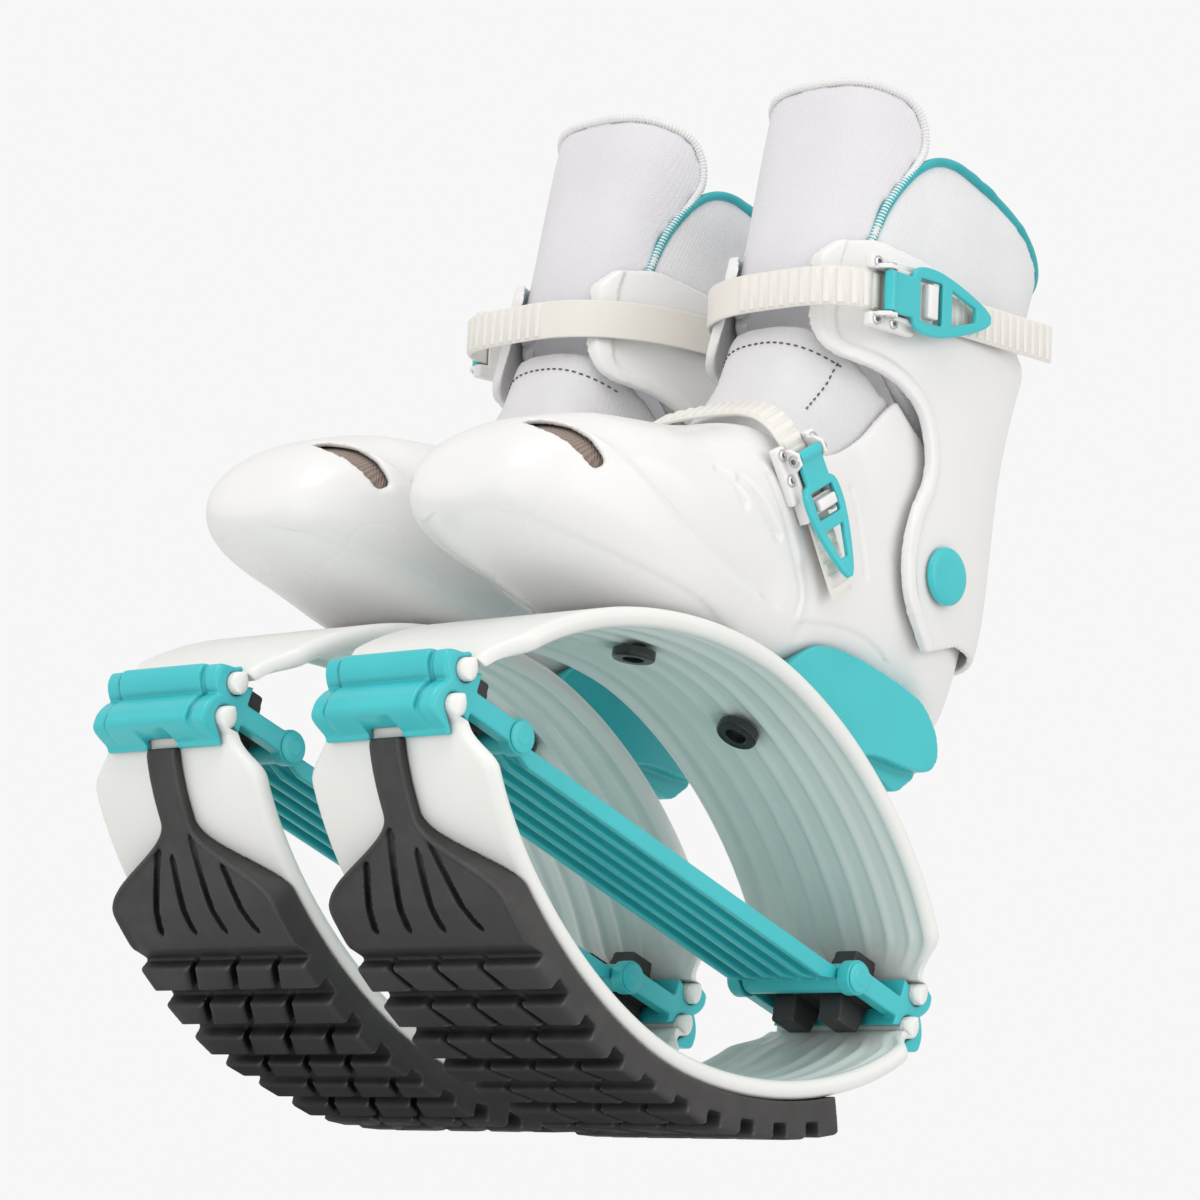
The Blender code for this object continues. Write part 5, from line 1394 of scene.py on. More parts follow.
def tread_stations():
    """Distances along the tread, each with its half width, its thickness and its kind."""
    start = OVAL.distance_at(-SPRING_REACH) + TREAD_STRAP_DROP - SPRING_END_HEIGHT
    end = OVAL.distance_at(TREAD_REAR_REACH)
    strap = TREAD_STRAP_WIDTH / 2
    wide = TREAD_WIDTH / 2
    shoulder = start + TREAD_STRAP_LENGTH
    rows = [(start - TREAD_TUCK, strap, TREAD_STRAP_THICKNESS, "plain")]
    for distance in span(start, shoulder, 8)[:-1]:
        rows.append((distance, strap, TREAD_STRAP_THICKNESS, "plain"))
    for part in span(0, 1, 16):
        width = strap + (wide - strap) * smoothstep(part)
        thickness = TREAD_STRAP_THICKNESS + (TREAD_PAD_THICKNESS - TREAD_STRAP_THICKNESS) * part
        rows.append((shoulder + TREAD_SHOULDER_LENGTH * part, width, thickness, "plain"))
    pad_start = shoulder + TREAD_SHOULDER_LENGTH
    pad_end = pad_start + TREAD_PAD_LENGTH
    for distance in span(pad_start, pad_end, 3)[1:]:
        rows.append((distance, wide, TREAD_PAD_THICKNESS, "plain"))
    pitch = (end - pad_end) / TREAD_LUG_ROWS
    for row in range(TREAD_LUG_ROWS):
        rows.append((pad_end + pitch * row + TREAD_ROW_GROOVE, wide, TREAD_BASE, "lug"))
        rows.append((pad_end + pitch * (row + 1), wide, TREAD_BASE, "groove"))
    return rows


def tread_columns(row, lug_row):
    """Places across the tread of one station, as shares of its half width."""
    pitch = 2 / TREAD_LUGS
    gap = 2 * TREAD_GROOVE / TREAD_WIDTH
    skew = 2 * TREAD_LUG_SKEW / TREAD_WIDTH
    stagger = gap if lug_row % 2 else -gap
    lean = skew if row == "groove" else -skew
    shares = [-1.0]
    for lug in range(1, TREAD_LUGS):
        middle = -1 + pitch * lug + stagger + lean
        shares += [middle - gap / 2, middle + gap / 2]
    return shares + [1.0]


def tread_body():
    """The tread's base with its lugs raised and chamfered, on the upper side of the oval."""
    stations = tread_stations()
    shape = bmesh.new()
    outer = []
    inner = []
    lug_row = 0
    for distance, half_width, thickness, kind in stations:
        bottom = OVAL.at(distance, CLEARANCE + thickness)
        top = OVAL.at(distance, CLEARANCE)
        shares = tread_columns(kind, lug_row)
        if kind == "groove":
            lug_row += 1
        outer.append([shape.verts.new((half_width * share, bottom.x, bottom.y)) for share in shares])
        inner.append([shape.verts.new((half_width * share, top.x, top.y)) for share in (-1, 1)])
    lugs = []
    for index in range(len(stations) - 1):
        near, far = outer[index], outer[index + 1]
        for column in range(len(near) - 1):
            face = shape.faces.new((near[column], near[column + 1], far[column + 1], far[column]))
            if stations[index][3] == "lug" and column % 2 == 0:
                lugs.append((face, index))
        shape.faces.new((inner[index][0], inner[index + 1][0], inner[index + 1][1], inner[index][1]))
        shape.faces.new((near[0], far[0], inner[index + 1][0], inner[index][0]))
        shape.faces.new((near[-1], inner[index][1], inner[index + 1][1], far[-1]))
    for end in (0, -1):
        shape.faces.new([*outer[end], inner[end][1], inner[end][0]])
    bmesh.ops.recalc_face_normals(shape, faces=shape.faces)
    raise_lugs(shape, lugs, stations)
    return finished(shape)


def raise_lugs(shape, lugs, stations):
    """Extrude each lug's face with a chamfer, and level the lugs that stand on the ground."""
    faces = [face for face, index in lugs]
    pitches = [(stations[index][0] + stations[index + 1][0]) / 2 for face, index in lugs]
    ground = 2 * MIDDLE_HEIGHT
    sides = (TREAD_LUG_HEIGHT - TREAD_LUG_CHAMFER, 0, ground - TREAD_LUG_CHAMFER)
    for lift, draw_in, limit in (sides, (TREAD_LUG_CHAMFER, TREAD_LUG_DRAW_IN, ground)):
        faces = bmesh.ops.extrude_discrete_faces(shape, faces=faces)["faces"]
        for face, distance in zip(faces, pitches):
            normal = OVAL.normal(distance)
            middle = face.calc_center_median()
            for corner in face.verts:
                corner.co += (middle - corner.co).normalized() * lift * draw_in
                corner.co.y += normal.x * lift
                corner.co.z = min(corner.co.z + normal.y * lift, limit)


def tread_slots():
    """Long slots along the tread's pad, in front of its lugs, cut to an even depth."""
    start = OVAL.distance_at(-SPRING_REACH) + TREAD_STRAP_DROP + TREAD_STRAP_LENGTH
    last = start + TREAD_SHOULDER_LENGTH + TREAD_PAD_LENGTH / 2
    slots = []
    for place, lean, length_share in TREAD_SLOT_shares:
        rings = []
        for share in span(0, 1, SLOT_STEPS):
            distance = last - TREAD_SLOT_LENGTH * length_share * share
            across = (place + lean * share) * TREAD_WIDTH / 2
            part = min(max((distance - start) / TREAD_SHOULDER_LENGTH, 0), 1)
            skin = TREAD_STRAP_THICKNESS + (TREAD_PAD_THICKNESS - TREAD_STRAP_THICKNESS) * part
            narrow = TREAD_SLOT_WIDTH / 2 * (1 if 0 < share < 1 else SLOT_END_share)
            depth = TREAD_SLOT_DEPTH * (SLOT_END_share + (1 - SLOT_END_share) * smoothstep(part))
            low = OVAL.at(distance, CLEARANCE + skin - depth)
            high = OVAL.at(distance, CLEARANCE + skin + OVERRUN)
            rings.append([
                (across - narrow, low.x, low.y), (across + narrow, low.x, low.y),
                (across + narrow, high.x, high.y), (across - narrow, high.x, high.y),
            ])
        slots.append(loft(rings))
    return slots


def tread_rims():
    """A thin raised line along each edge of the tread's strap and shoulders."""
    rims = []
    for side in (-1, 1):
        line = []
        for distance, half_width, thickness, kind in tread_stations():
            if kind == "plain":
                place = OVAL.at(distance, CLEARANCE + thickness)
                line.append(Vector((side * (half_width - TREAD_RIM_RADIUS), place.x, place.y)))
        rims.append(tube(resampled(line, CORD_PITCH, 2), TREAD_RIM_RADIUS, 10))
    return rims


def add_tread():
    """The rubber outsole under the lower spring."""
    body = carved(tread_body(), tread_slots())
    mesh = softened(merged([body] + tread_rims()), TREAD_VOXEL, 2)
    mesh = mirrored(mesh, MIRROR_HEIGHT)
    made = publish("tread", mesh, "soles", (BLACK_RUBBER,), ("outsole_tread",))
    squashed(made, 0, MIDDLE_HEIGHT - SPRING_END_HEIGHT - SPRING_BEAD_RADIUS)


# Clips, band and stops


def bead_centre():
    """The bead of the upper spring's front end, in side view."""
    place = OVAL.at(0, -SPRING_BEAD_SETBACK)
    return Vector((place.x, place.y + SPRING_BEAD_RADIUS))


def clip_half(rise, wall):
    """Half of a front clip's side outline: from its waist round a bulge to the lip, then round the
    bead's seat."""
    centre = bead_centre()
    seat = SPRING_BEAD_RADIUS + CLEARANCE
    spring_face = OVAL.at(rise - SPRING_END_HEIGHT, CLIP_LIP_GAP)
    back = centre.x + seat + CLIP_BACK_WALL
    lip_radius = CLIP_LIP_THICKNESS / 2
    lip = (spring_face.x - lip_radius, MIDDLE_HEIGHT + rise - lip_radius)
    front = centre.x - seat - wall
    bulge = [(front + setback, MIDDLE_HEIGHT + rise * share) for setback, share in CLIP_BULGE]
    points = curve_through(bulge + [(lip[0] - lip_radius, lip[1])], 5)
    points += arc(lip, lip_radius, 150, 0, 7)
    points += arc(centre, seat, 150, 375, 24)
    points.append((back, centre.y + CLIP_BACK_RISE))
    points.append((back, MIDDLE_HEIGHT))
    return points


def clip_outline(wall):
    """A front clip's closed side outline: two seats back to back, opening up and down."""
    upper = clip_half(CLIP_LIP_RISE, wall)
    lower = clip_half(CLIP_LIP_DROP, wall)
    mirrored = [(y, 2 * MIDDLE_HEIGHT - z) for y, z in reversed(lower[1:-1])]
    return upper + mirrored


def clip_body():
    """The channels of a front clip: a raised middle, and a groove and a rounded band at each side."""
    half = CLIP_WIDTH / 2
    inner = half - CLIP_SIDE_BAND
    groove = CLIP_STEP * 1.1
    side = (
        (half, -CLIP_STEP), (half - CLIP_STEP / 2, -CLIP_STEP / 3), (half - CLIP_STEP, 0),
        (inner + 2 * groove, 0), (inner + groove * 1.8, -CLIP_STEP), (inner + groove * 0.8, -CLIP_STEP),
        (inner + groove * 0.6, CLIP_STEP * 0.7), (inner - groove * 0.4, CLIP_STEP),
    )
    bands = [(-place, step) for place, step in side] + list(reversed(side))
    rings = []
    for place, step in bands:
        rings.append([(place, y, z) for y, z in clip_outline(CLIP_WALL + step)])
    return loft(rings)


def arm_mesh(side):
    """One arm of a front clip, out to the boss of its band pin."""
    start = bead_centre().x + SPRING_BEAD_RADIUS + CLEARANCE + CLIP_BACK_WALL / 2
    middle = MIDDLE_HEIGHT - ARM_DROP
    outline = [(start, middle - ARM_HEIGHT / 2)]
    outline += arc((-BOSS_REACH, middle), BOSS_RADIUS, -140, 140, 36)
    outline.append((start, middle + ARM_HEIGHT / 2))
    outer = CLIP_WIDTH / 2
    inner = outer - ARM_THICKNESS
    if side > 0:
        return side_prism(outline, inner, outer)
    return side_prism(outline, -outer, -inner)


def boss_place(end):
    """The axis of a band pin in side view: end is -1 in front and 1 behind."""
    return Vector((0, end * BOSS_REACH, MIDDLE_HEIGHT - ARM_DROP))


def pin_hole(end):
    """The hole of a band pin, across the shoe."""
    return rod_through(boss_place(end), Vector((CLIP_WIDTH, 0, 0)), PIN_RADIUS + CLEARANCE, SMALL_FACETS)


def facing(mesh, end):
    """Turn a mesh made for the front end to the end that it belongs to."""
    return mirrored(mesh, MIRROR_LENGTH) if end > 0 else mesh


def strap_notch():
    """The notch in the front clip's lower lip, where the tread's strap comes out."""
    half = TREAD_STRAP_WIDTH / 2 + 2 * CLEARANCE
    top = MIDDLE_HEIGHT - TREAD_STRAP_DROP + CLIP_LIP_THICKNESS
    low = (-half, -SPRING_REACH - OVERRUN, 0)
    return block(low, (half, -SPRING_REACH + OVERRUN, top))


def add_clips():
    """The two end clips, which hold the springs' beads and the band."""
    for end, name in ((-1, "front_clip"), (1, "rear_clip")):
        body = carved(clip_body(), [strap_notch()]) if end < 0 else clip_body()
        joined = merged([body, arm_mesh(-1), arm_mesh(1)])
        skin = softened(joined, FINE_VOXEL, 3)
        mesh = carved(skin, [pin_hole(-1)])
        mesh = facing(mesh, end)
        publish(name + "_form", creased(mesh, 60), "middle", (SEA_GREEN,), (name,))


def add_pin_caps():
    """The domed caps on both ends of the band pins, on the clips' arms."""
    profile = [(0, PIN_CAP_HEIGHT)]
    for angle in span(0, math.pi / 2, 7)[1:]:
        rounded = PIN_CAP_HEIGHT * math.cos(angle) ** 0.5
        profile.append((PIN_CAP_RADIUS * math.sin(angle), rounded))
    profile.append((0, 0))
    inner = PIN_CAP_RADIUS / 2
    mark = turned([(0, PIN_CAP_TOP), (inner, PIN_CAP_TOP), (inner * 1.1, 0), (0, 0)])
    for end, name in ((-1, "front_pin_caps"), (1, "rear_pin_caps")):
        caps = []
        for side in (-1, 1):
            place = boss_place(end) + Vector((side * CLIP_WIDTH / 2, 0, 0))
            for part in (turned(profile), mark.copy()):
                part.transform(Matrix.Translation(place) @ pointing((side, 0, 0)))
                caps.append(part)
        mesh = softened(merged(caps), PIN_CAP_VOXEL, 1)
        publish(name, creased(mesh, 60), "middle", (SEA_GREEN,))


def add_band():
    """The ribbed band between the arms, with an eye at each end."""
    half = BAND_WIDTH / 2
    middle = MIDDLE_HEIGHT - ARM_DROP
    top = middle + BAND_THICKNESS / 2
    bottom = middle - BAND_THICKNESS / 2
    reach = BOSS_REACH - BAND_EYE_RADIUS / 2
    pitch = (2 * half - BAND_RIB_WIDTH) / (BAND_RIBS - 1)
    rings = []
    stations = ((-reach, 0.1), (-reach + BAND_RIB_TAPER, 1), (reach - BAND_RIB_TAPER, 1), (reach, 0.1))
    for place, share in stations:
        rib = bottom - BAND_RIB_HEIGHT * share
        ring = [(half, place, top), (-half, place, top)]
        for index in range(BAND_RIBS):
            left = -half + pitch * index
            right = left + BAND_RIB_WIDTH
            low = [(left, place, rib), (right, place, rib)]
            before = [(left, place, bottom)] if index else []
            after = [(right, place, bottom)] if index < BAND_RIBS - 1 else []
            ring += before + low + after
        rings.append(ring)
    parts = [loft(rings)]
    for end in (-1, 1):
        parts.append(rod_through(boss_place(end), Vector((half, 0, 0)), BAND_EYE_RADIUS))
    skin = softened(merged(parts), SMALL_VOXEL, 2)
    mesh = carved(skin, [pin_hole(-1), pin_hole(1)])
    publish("band_form", creased(mesh, 60), "middle", (SEA_GREEN,), ("tension_band",))


def add_bump_stops():
    """Rubber blocks behind the clips, with fins that the springs come down on."""
    front = bead_centre().x + SPRING_BEAD_RADIUS + CLIP_BACK_WALL + 2 * CLEARANCE
    back = -BOSS_REACH - BAND_EYE_RADIUS - 2 * CLEARANCE
    half = BAND_WIDTH / 2
    base = STOP_BASE_HEIGHT / 2
    taper = (back - front) / 5
    rise = STOP_RISE
    fin = [
        (front + taper, -rise), (back - taper, -rise), (back - taper / 3, -base / 2),
        (back - taper / 3, base / 2), (back - taper, rise), (front + taper, rise),
        (front + taper / 3, base / 2), (front + taper / 3, -base / 2),
    ]
    fin = [(y, MIDDLE_HEIGHT + z) for y, z in fin]
    parts = [block((-half, front, MIDDLE_HEIGHT - base), (half, back, MIDDLE_HEIGHT + base))]
    for side in (-1, 1):
        middle = side * STOP_FIN_SPREAD / 2
        parts.append(side_prism(fin, middle - STOP_FIN_WIDTH / 2, middle + STOP_FIN_WIDTH / 2))
    mesh = softened(merged(parts), SMALL_VOXEL, 3)
    for end, name in ((-1, "front_bump_stop"), (1, "rear_bump_stop")):
        publish(name + "_form", facing(mesh.copy(), end), "middle", (BLACK_RUBBER,), (name,))


# Boot


def toe_shift(place):
    """How far the boot's middle line lies towards the inner side, at a place on Y."""
    return TOE_SHIFT * smoothstep((-place - TOE_SHIFT_START) / TOE_SHIFT_LENGTH)


def section_rings(rows, inset=0.0, overrun=0.0, steps=4):
    """Rings of a boot's or leg's loft, whose surface lies inset inside the rows' own."""
    rows = curve_through(rows, steps)
    ends = [(Vector(side_point(row[0:2])), Vector(side_point(row[2:4]))) for row in rows]
    centres = [(first + last) / 2 for first, last in ends]
    widths = [row[4] * BOOT_WIDTH / 2 for row in rows]
    rings = []
    for index, row in enumerate(rows):
        before = max(index - 1, 0)
        after = min(index + 1, len(rows) - 1)
        run = centres[after] - centres[before]
        slope = math.atan2(widths[after] - widths[before], run.length)
        along = run.normalized()
        lengthwise = ends[index][0] - ends[index][1]
        semi = lengthwise.length / 2 - inset * math.cos(slope)
        half = widths[index] - inset * math.cos(slope)
        centre = centres[index] + along * inset * math.sin(slope)
        ring = oval_ring(centre, lengthwise.normalized(), semi, half, row[5:7])
        rings.append([(x - toe_shift(y), y, z) for x, y, z in ring])
    if overrun:
        rings.append([(x, y + along.x * overrun, z + along.y * overrun) for x, y, z in rings[-1]])
    return rings


def oval_ring(centre, towards, semi, half, powers):
    """A ring whose two halves may be more or less square."""
    ring = []
    for step in range(SECTION_FACETS):
        angle = 2 * math.pi * (step + 0.5) / SECTION_FACETS
        power = powers[0] if math.cos(angle) > 0 else powers[1]
        place = centre + towards * (squared(math.cos(angle), power) * semi)
        ring.append((squared(math.sin(angle), power) * half, place.x, place.y))
    return ring


def above(outline):
    """Close a side line upwards, to cut away all that lies over it."""
    top = SHAFT_FOOT_HEIGHT + 2 * SHAFT_HEIGHT
    return outline + [(outline[-1][0], top), (outline[0][0], top)]


def vent_mesh(side):
    """An oval cutter for a toe vent, whose length follows the toe's front edge."""
    reach, height = side_point(VENT_PLACE_shares)
    out = Vector(VENT_OUT_shares).normalized()
    across = out.cross(Vector(VENT_ALONG_shares)).normalized()
    turn = axes(across.cross(out), across, out)
    shape = bmesh.new()
    bmesh.ops.create_cone(
        shape, cap_ends=True, segments=ROUND_FACETS, radius1=1, radius2=1, depth=VENT_DEPTH
    )
    bmesh.ops.scale(shape, vec=(VENT_LENGTH / 2, VENT_WIDTH / 2, 1), verts=shape.verts)
    shape.transform(Matrix.Translation((VENT_SPREAD / 2, reach, height)) @ turn)
    shape.transform(Matrix.Scale(side, 4, (1, 0, 0)))
    shape.transform(Matrix.Translation((-toe_shift(reach), 0, 0)))
    return finished(shape)


def ankle_hole():
    """The hole of the ankle pins, through both sides of the cuff and the boot."""
    place = Vector((0, ANKLE_REACH, ANKLE_HEIGHT))
    return rod_through(place, Vector((BOOT_WIDTH, 0, 0)), ANKLE_PIN_RADIUS + CLEARANCE)


def add_boot_shell():
    """The moulded boot: a hollow loft with an open throat, two toe vents and its creases."""
    mesh = carved(loft(section_rings(BOOT_SECTION_shares)), [
        loft(section_rings(BOOT_SECTION_shares, BOOT_WALL, OVERRUN)),
        wide_prism(above(smooth_outline(THROAT_shares))),
        vent_mesh(-1), vent_mesh(1), spring_envelope(), bolt_hole(-1), bolt_hole(1), ankle_hole(),
    ])
    mesh = softened(mesh, SHELL_VOXEL, 8, mesh.copy())
    engraved(mesh, BOOT_LINES)
    publish("boot_form", mesh, "boot", (WHITE_GLOSS,), ("boot_shell",))


def add_heel_pad():
    """The wedge between the spring and the boot's heel, with its lower lobe."""
    half = PAD_WIDTH / 2
    pad = side_prism(closed_outline(PAD_shares), -half, half)
    lobe = PAD_LOBE_WIDTH / 2
    lobe = side_prism(closed_outline(LOBE_shares), -lobe, lobe)
    cutters = (loft(section_rings(BOOT_SECTION_shares, -PAD_GAP)), spring_envelope(), bolt_hole(1))
    pad = carved(pad, [cutter.copy() for cutter in cutters])
    lobe = carved(lobe, [cutter.copy() for cutter in cutters])
    mesh = softened(merged([pad, lobe]), SMALL_VOXEL, 5)
    publish("heel_wedge", mesh, "boot", (SEA_GREEN,), ("heel_pad",))


def add_boot_liner():
    """The padded inner shoe, with dark mesh behind the toe vents."""
    outer = BOOT_WALL + LINER_GAP
    base = loft(section_rings(BOOT_SECTION_shares, outer))
    cavity = loft(section_rings(BOOT_SECTION_shares, outer + LINER_PADDING, OVERRUN, 2))
    mesh = carved(base, [cavity, wide_prism(above(smooth_outline(LINER_TOP_shares)))])
    tree = tree_of(mesh)
    mesh = softened(mesh, CLOTH_VOXEL, 4)
    front, height = side_point(VENT_MESH_END_shares)
    for face in mesh.polygons:
        if face.center.y < front and face.center.z < height:
            face.material_index = 1
    mesh.materials.append(LINER_CLOTH)
    mesh.materials.append(VENT_MESH)
    mesh.shade_smooth()
    made = show_painted("inner_shoe", mesh, "boot", ("boot_liner",))
    seams = []
    for line in (LINER_SEAM_LINE, LINER_BRANCH_LINE):
        points = [Vector((x, y, MIDDLE_HEIGHT + z)) for x, y, z in curve_through(line)]
        snapped = [tree.find_nearest(point)[0] for point in points]
        seams.append(stitches(resampled(snapped, STITCH_PITCH / 4), tree, SEAM_LIFT))
    publish("inner_shoe_stitches", merged(seams), "boot", (DARK_THREAD,))


def cavity_of(rows, wall):
    """The space inside a wall that follows a table of sections, past both its ends."""
    rings = section_rings(rows, wall, OVERRUN)
    below = [(x, y, z - OVERRUN) for x, y, z in rings[0]]
    return loft([below] + rings)


def padded_piece(name, outline, node, cloth):
    """A padded part of the leg, and the line of its outer rim."""
    leg = tagged(loft(section_rings(LEG_SECTION_shares)), "outer_face")
    wall = carved(leg, [tagged(cavity_of(LEG_SECTION_shares, LINER_PADDING), "inner_face")])
    shape = carved(wall, [tagged(wide_prism(outline), "cut_face")], "INTERSECT")
    line = max(rim_lines(shape, "outer_face", "cut_face"), key=len)
    tree = tree_of(shape)
    mesh = softened(shape, CLOTH_VOXEL, 4)
    mesh.shade_smooth()
    made = publish(name, mesh, "upper_leg", (cloth,), (node,))
    return resampled(line, RIM_LINE_PITCH), tree


def add_tongue():
    """The tall tongue, with a ribbed binding along its edge and a row of stitches inside it."""
    outline = smooth_outline(TONGUE_EDGE_shares) + side_outline(TONGUE_FRONT_shares)
    line, tree = padded_piece("tongue_pad", outline, "liner_tongue", TONGUE_CLOTH)
    line = longest_run(line, TONGUE_BINDING_FOOT_share)
    binding = resampled(line, BINDING_PITCH / 4, 2)
    mesh = tube(binding, BINDING_RADIUS, 10, BINDING_RIB, BINDING_PITCH)
    publish("tongue_binding", mesh, "upper_leg", (BINDING_CLOTH,))
    seam = inner_line(line, tree, TONGUE_SEAM_INSET)
    publish("tongue_stitches", stitches(seam, tree), "upper_leg", (DARK_THREAD,))


def add_collar():
    """The padded collar round the back of the leg, with a piped edge."""
    outline = smooth_outline(COLLAR_EDGE_shares) + side_outline(COLLAR_FOOT_shares)
    line, tree = padded_piece("collar_pad", outline, "liner_collar", COLLAR_CLOTH)
    line = longest_run(line, COLLAR_PIPING_FOOT_share)
    edge = resampled(inner_line(line, tree, PIPING_RADIUS / 2), CORD_PITCH, 3)
    publish("collar_piping", tube(edge, PIPING_RADIUS, 16), "upper_leg", (PIPING_CLOTH,))


def longest_run(line, foot_share):
    """The longest stretch of a closed line that stays above a share of the shaft's height."""
    low = side_point((0, foot_share))[1]
    flags = [place.z > low for place in line]
    if all(flags):
        return line
    start = flags.index(False)
    runs = [[]]
    for place in line[start:] + line[:start]:
        if place.z > low:
            runs[-1].append(place)
        elif runs[-1]:
            runs.append([])
    return max(runs, key=len)


def inner_line(line, tree, distance):
    """A line on a surface at a distance inside its edge."""
    first = moved_line(line, tree, distance)
    second = moved_line(line, tree, -distance)
    reach = [sum((far - near).length for near, far in zip(moved, line)) for moved in (first, second)]
    return first if reach[0] > reach[1] else second


def inner_rim_outline():
    """The side outline of the cuff inside its raised front rim."""
    rim = [Vector(place) for place in smooth_outline(CUFF_RIM_shares)]
    points = []
    for place, along in zip(rim, directions(rim)):
        points.append(tuple(place + Vector((-along.y, along.x)) * CUFF_RIM_WIDTH))
    far = BOOT_LENGTH
    bottom = (far, points[-1][1] - OVERRUN)
    top = (far, SHAFT_FOOT_HEIGHT + 2 * SHAFT_HEIGHT)
    return points + [(points[-1][0], bottom[1]), bottom, top, (points[0][0], top[1])]


def add_cuff():
    """The moulded cuff, open in front, with a raised front rim."""
    outline = smooth_outline(CUFF_RIM_shares) + side_outline(CUFF_BACK_shares)
    whole = loft(section_rings(CUFF_SECTION_shares, -CUFF_RIM_STEP))
    whole = carved(whole, [cavity_of(CUFF_SECTION_shares, CUFF_WALL)])
    whole = carved(whole, [wide_prism(outline)], "INTERSECT")
    recess = carved(wide_prism(inner_rim_outline()), [loft(section_rings(CUFF_SECTION_shares))])
    mesh = carved(whole, [recess, ankle_hole()])
    mesh = softened(mesh, SHELL_VOXEL, 7, mesh.copy())
    publish("cuff_form", mesh, "upper_leg", (WHITE_GLOSS,), ("cuff",))


def add_ankle_rivets():
    """The domed discs that the cuff turns on, each with its pin in the boot's side."""
    seat = CUFF_SECTION_shares[2][4] * BOOT_WIDTH / 2 + ANKLE_SEAT_GAP
    profile = []
    for share in span(0, 1, 8):
        wide = ANKLE_DOME_RADIUS * math.sin(math.pi / 2 * share)
        profile.append((wide, ANKLE_DISC_THICKNESS * (1 - ANKLE_DOME_DROP_share * share ** 3)))
    profile += [
        (ANKLE_RIM_RADIUS, ANKLE_RIM_TOP), (ANKLE_DISC_RADIUS, ANKLE_RIM_HEIGHT), (ANKLE_DISC_RADIUS, 0),
        (ANKLE_PIN_RADIUS, 0), (ANKLE_PIN_RADIUS, -ANKLE_PIN_LENGTH), (0, -ANKLE_PIN_LENGTH),
    ]
    for side, name in ((1, "ankle_rivet_outer"), (-1, "ankle_rivet_inner")):
        mesh = turned(profile)
        place = Matrix.Translation((side * seat, ANKLE_REACH, ANKLE_HEIGHT))
        mesh.transform(place @ pointing((side, 0, 0)))
        publish(name.replace("rivet", "disc"), creased(mesh), "boot", (SEA_GREEN,), (name,))


# Straps and buckles


class Strap:
    """A strap's line: a sloping plane, and in it a curve from the outer side round the front."""

    def __init__(self, height, slope_degrees, crown, front, half_width, bends, powers, ends):
        self.height = height
        self.crown = crown
        self.half_width = half_width
        slope = math.radians(slope_degrees)
        self.rearward = Vector((0, math.cos(slope), math.sin(slope)))
        self.upward = Vector((0, -math.sin(slope), math.cos(slope)))
        places = [(half_width, ends[0])]
        for index in range(CURVE_SAMPLES + 1):
            angle = math.pi * index / CURVE_SAMPLES
            inner = index > CURVE_SAMPLES / 2
            along = squared(math.sin(angle), powers[inner])
            across = squared(math.cos(angle), powers[inner])
            places.append((across * half_width, front + bends[inner] * (1 - along)))
        places.append((-half_width, ends[1]))
        self.track = Track(places)

    def at(self, distance, out, up):
        """A point of the strap: distance along it, height over its inner face, place in its width."""
        flat = self.track.at(distance, out)
        share = self.track.at(distance).x / self.half_width
        rise = up + self.crown * (1 - share * share)
        return Vector((flat.x, 0, self.height)) + self.rearward * flat.y + self.upward * rise


def strap_ring(strap, distance, half, tooth):
    """One ring of a strap: a flat section with rounded edges and a raised middle."""
    bevel = STRAP_BEVEL
    ladder = half - 2 * bevel
    side = (
        (STRAP_THICKNESS + tooth, ladder - bevel), (STRAP_THICKNESS + tooth * 0.2, ladder),
        (STRAP_THICKNESS, half - bevel), (STRAP_THICKNESS - bevel, half), (bevel, half),
        (0.0, half - bevel),
    )
    corners = [(out, -up) for out, up in reversed(side)] + list(side)
    return [strap.at(distance, out, up) for out, up in corners]


def strap_mesh(strap, width):
    """A ladder strap: teeth from its free end to the front, then plain to where it is held."""
    half = width / 2
    length = strap.track.length
    teeth = int(length * STRAP_TOOTHED_share / STRAP_TOOTH_PITCH)
    rings = []
    for tooth in range(teeth):
        for share, rise in STRAP_TOOTH_shares:
            distance = STRAP_TOOTH_PITCH * (tooth + share)
            rings.append(strap_ring(strap, distance, half, STRAP_TOOTH_HEIGHT * rise))
    for distance in span(STRAP_TOOTH_PITCH * teeth, length, STRAP_STEPS):
        rings.append(strap_ring(strap, distance, half, 0.0))
    return loft(rings)


def buckle_frame(strap, reach, length):
    """The frame of a buckle on a strap: X along its lever, Y across, Z out from the strap."""
    start = strap.track.places[0][1] - reach
    near = strap.at(start, 0, 0)
    far = strap.at(start - length / 2, 0, 0)
    along = (far - near).normalized()
    return Matrix.Translation(near) @ axes(along, strap.upward, along.cross(strap.upward))


TAB_FLOOR = STRAP_THICKNESS + STRAP_TOOTH_HEIGHT + STRAP_GAP + TAB_TRAVEL
LEVER_FLOOR = TAB_FLOOR + TAB_THICKNESS + CLEARANCE
LEVER_PIN_HEIGHT = LEVER_FLOOR + LEVER_THICKNESS / 2


def mirrored_outline(side):
    """Close an outline with its own mirror image across the lever's middle line."""
    return list(side) + [(along, -across) for along, across in reversed(side)]


def lever_mesh(length, width, neck):
    """A buckle's lever: a tapering plate with two windows and rounded edges."""
    half = width / 2
    side = [(-LEVER_BARREL_RADIUS / 2, neck), (LEVER_NECK_share * length, neck)]
    side += curve_through([(along * length, across * half) for along, across in LEVER_SIDE_shares], 5)
    outlines = [mirrored_outline(side)]
    for shares in (LEVER_WINDOW_shares, LEVER_TIP_WINDOW_shares):
        outlines.append(mirrored_outline([(along * length, across * half) for along, across in shares]))
    mesh = outline_mesh(outlines, LEVER_THICKNESS, LEVER_BEVEL)
    mesh.transform(Matrix.Translation((0, 0, LEVER_PIN_HEIGHT)))
    return mesh


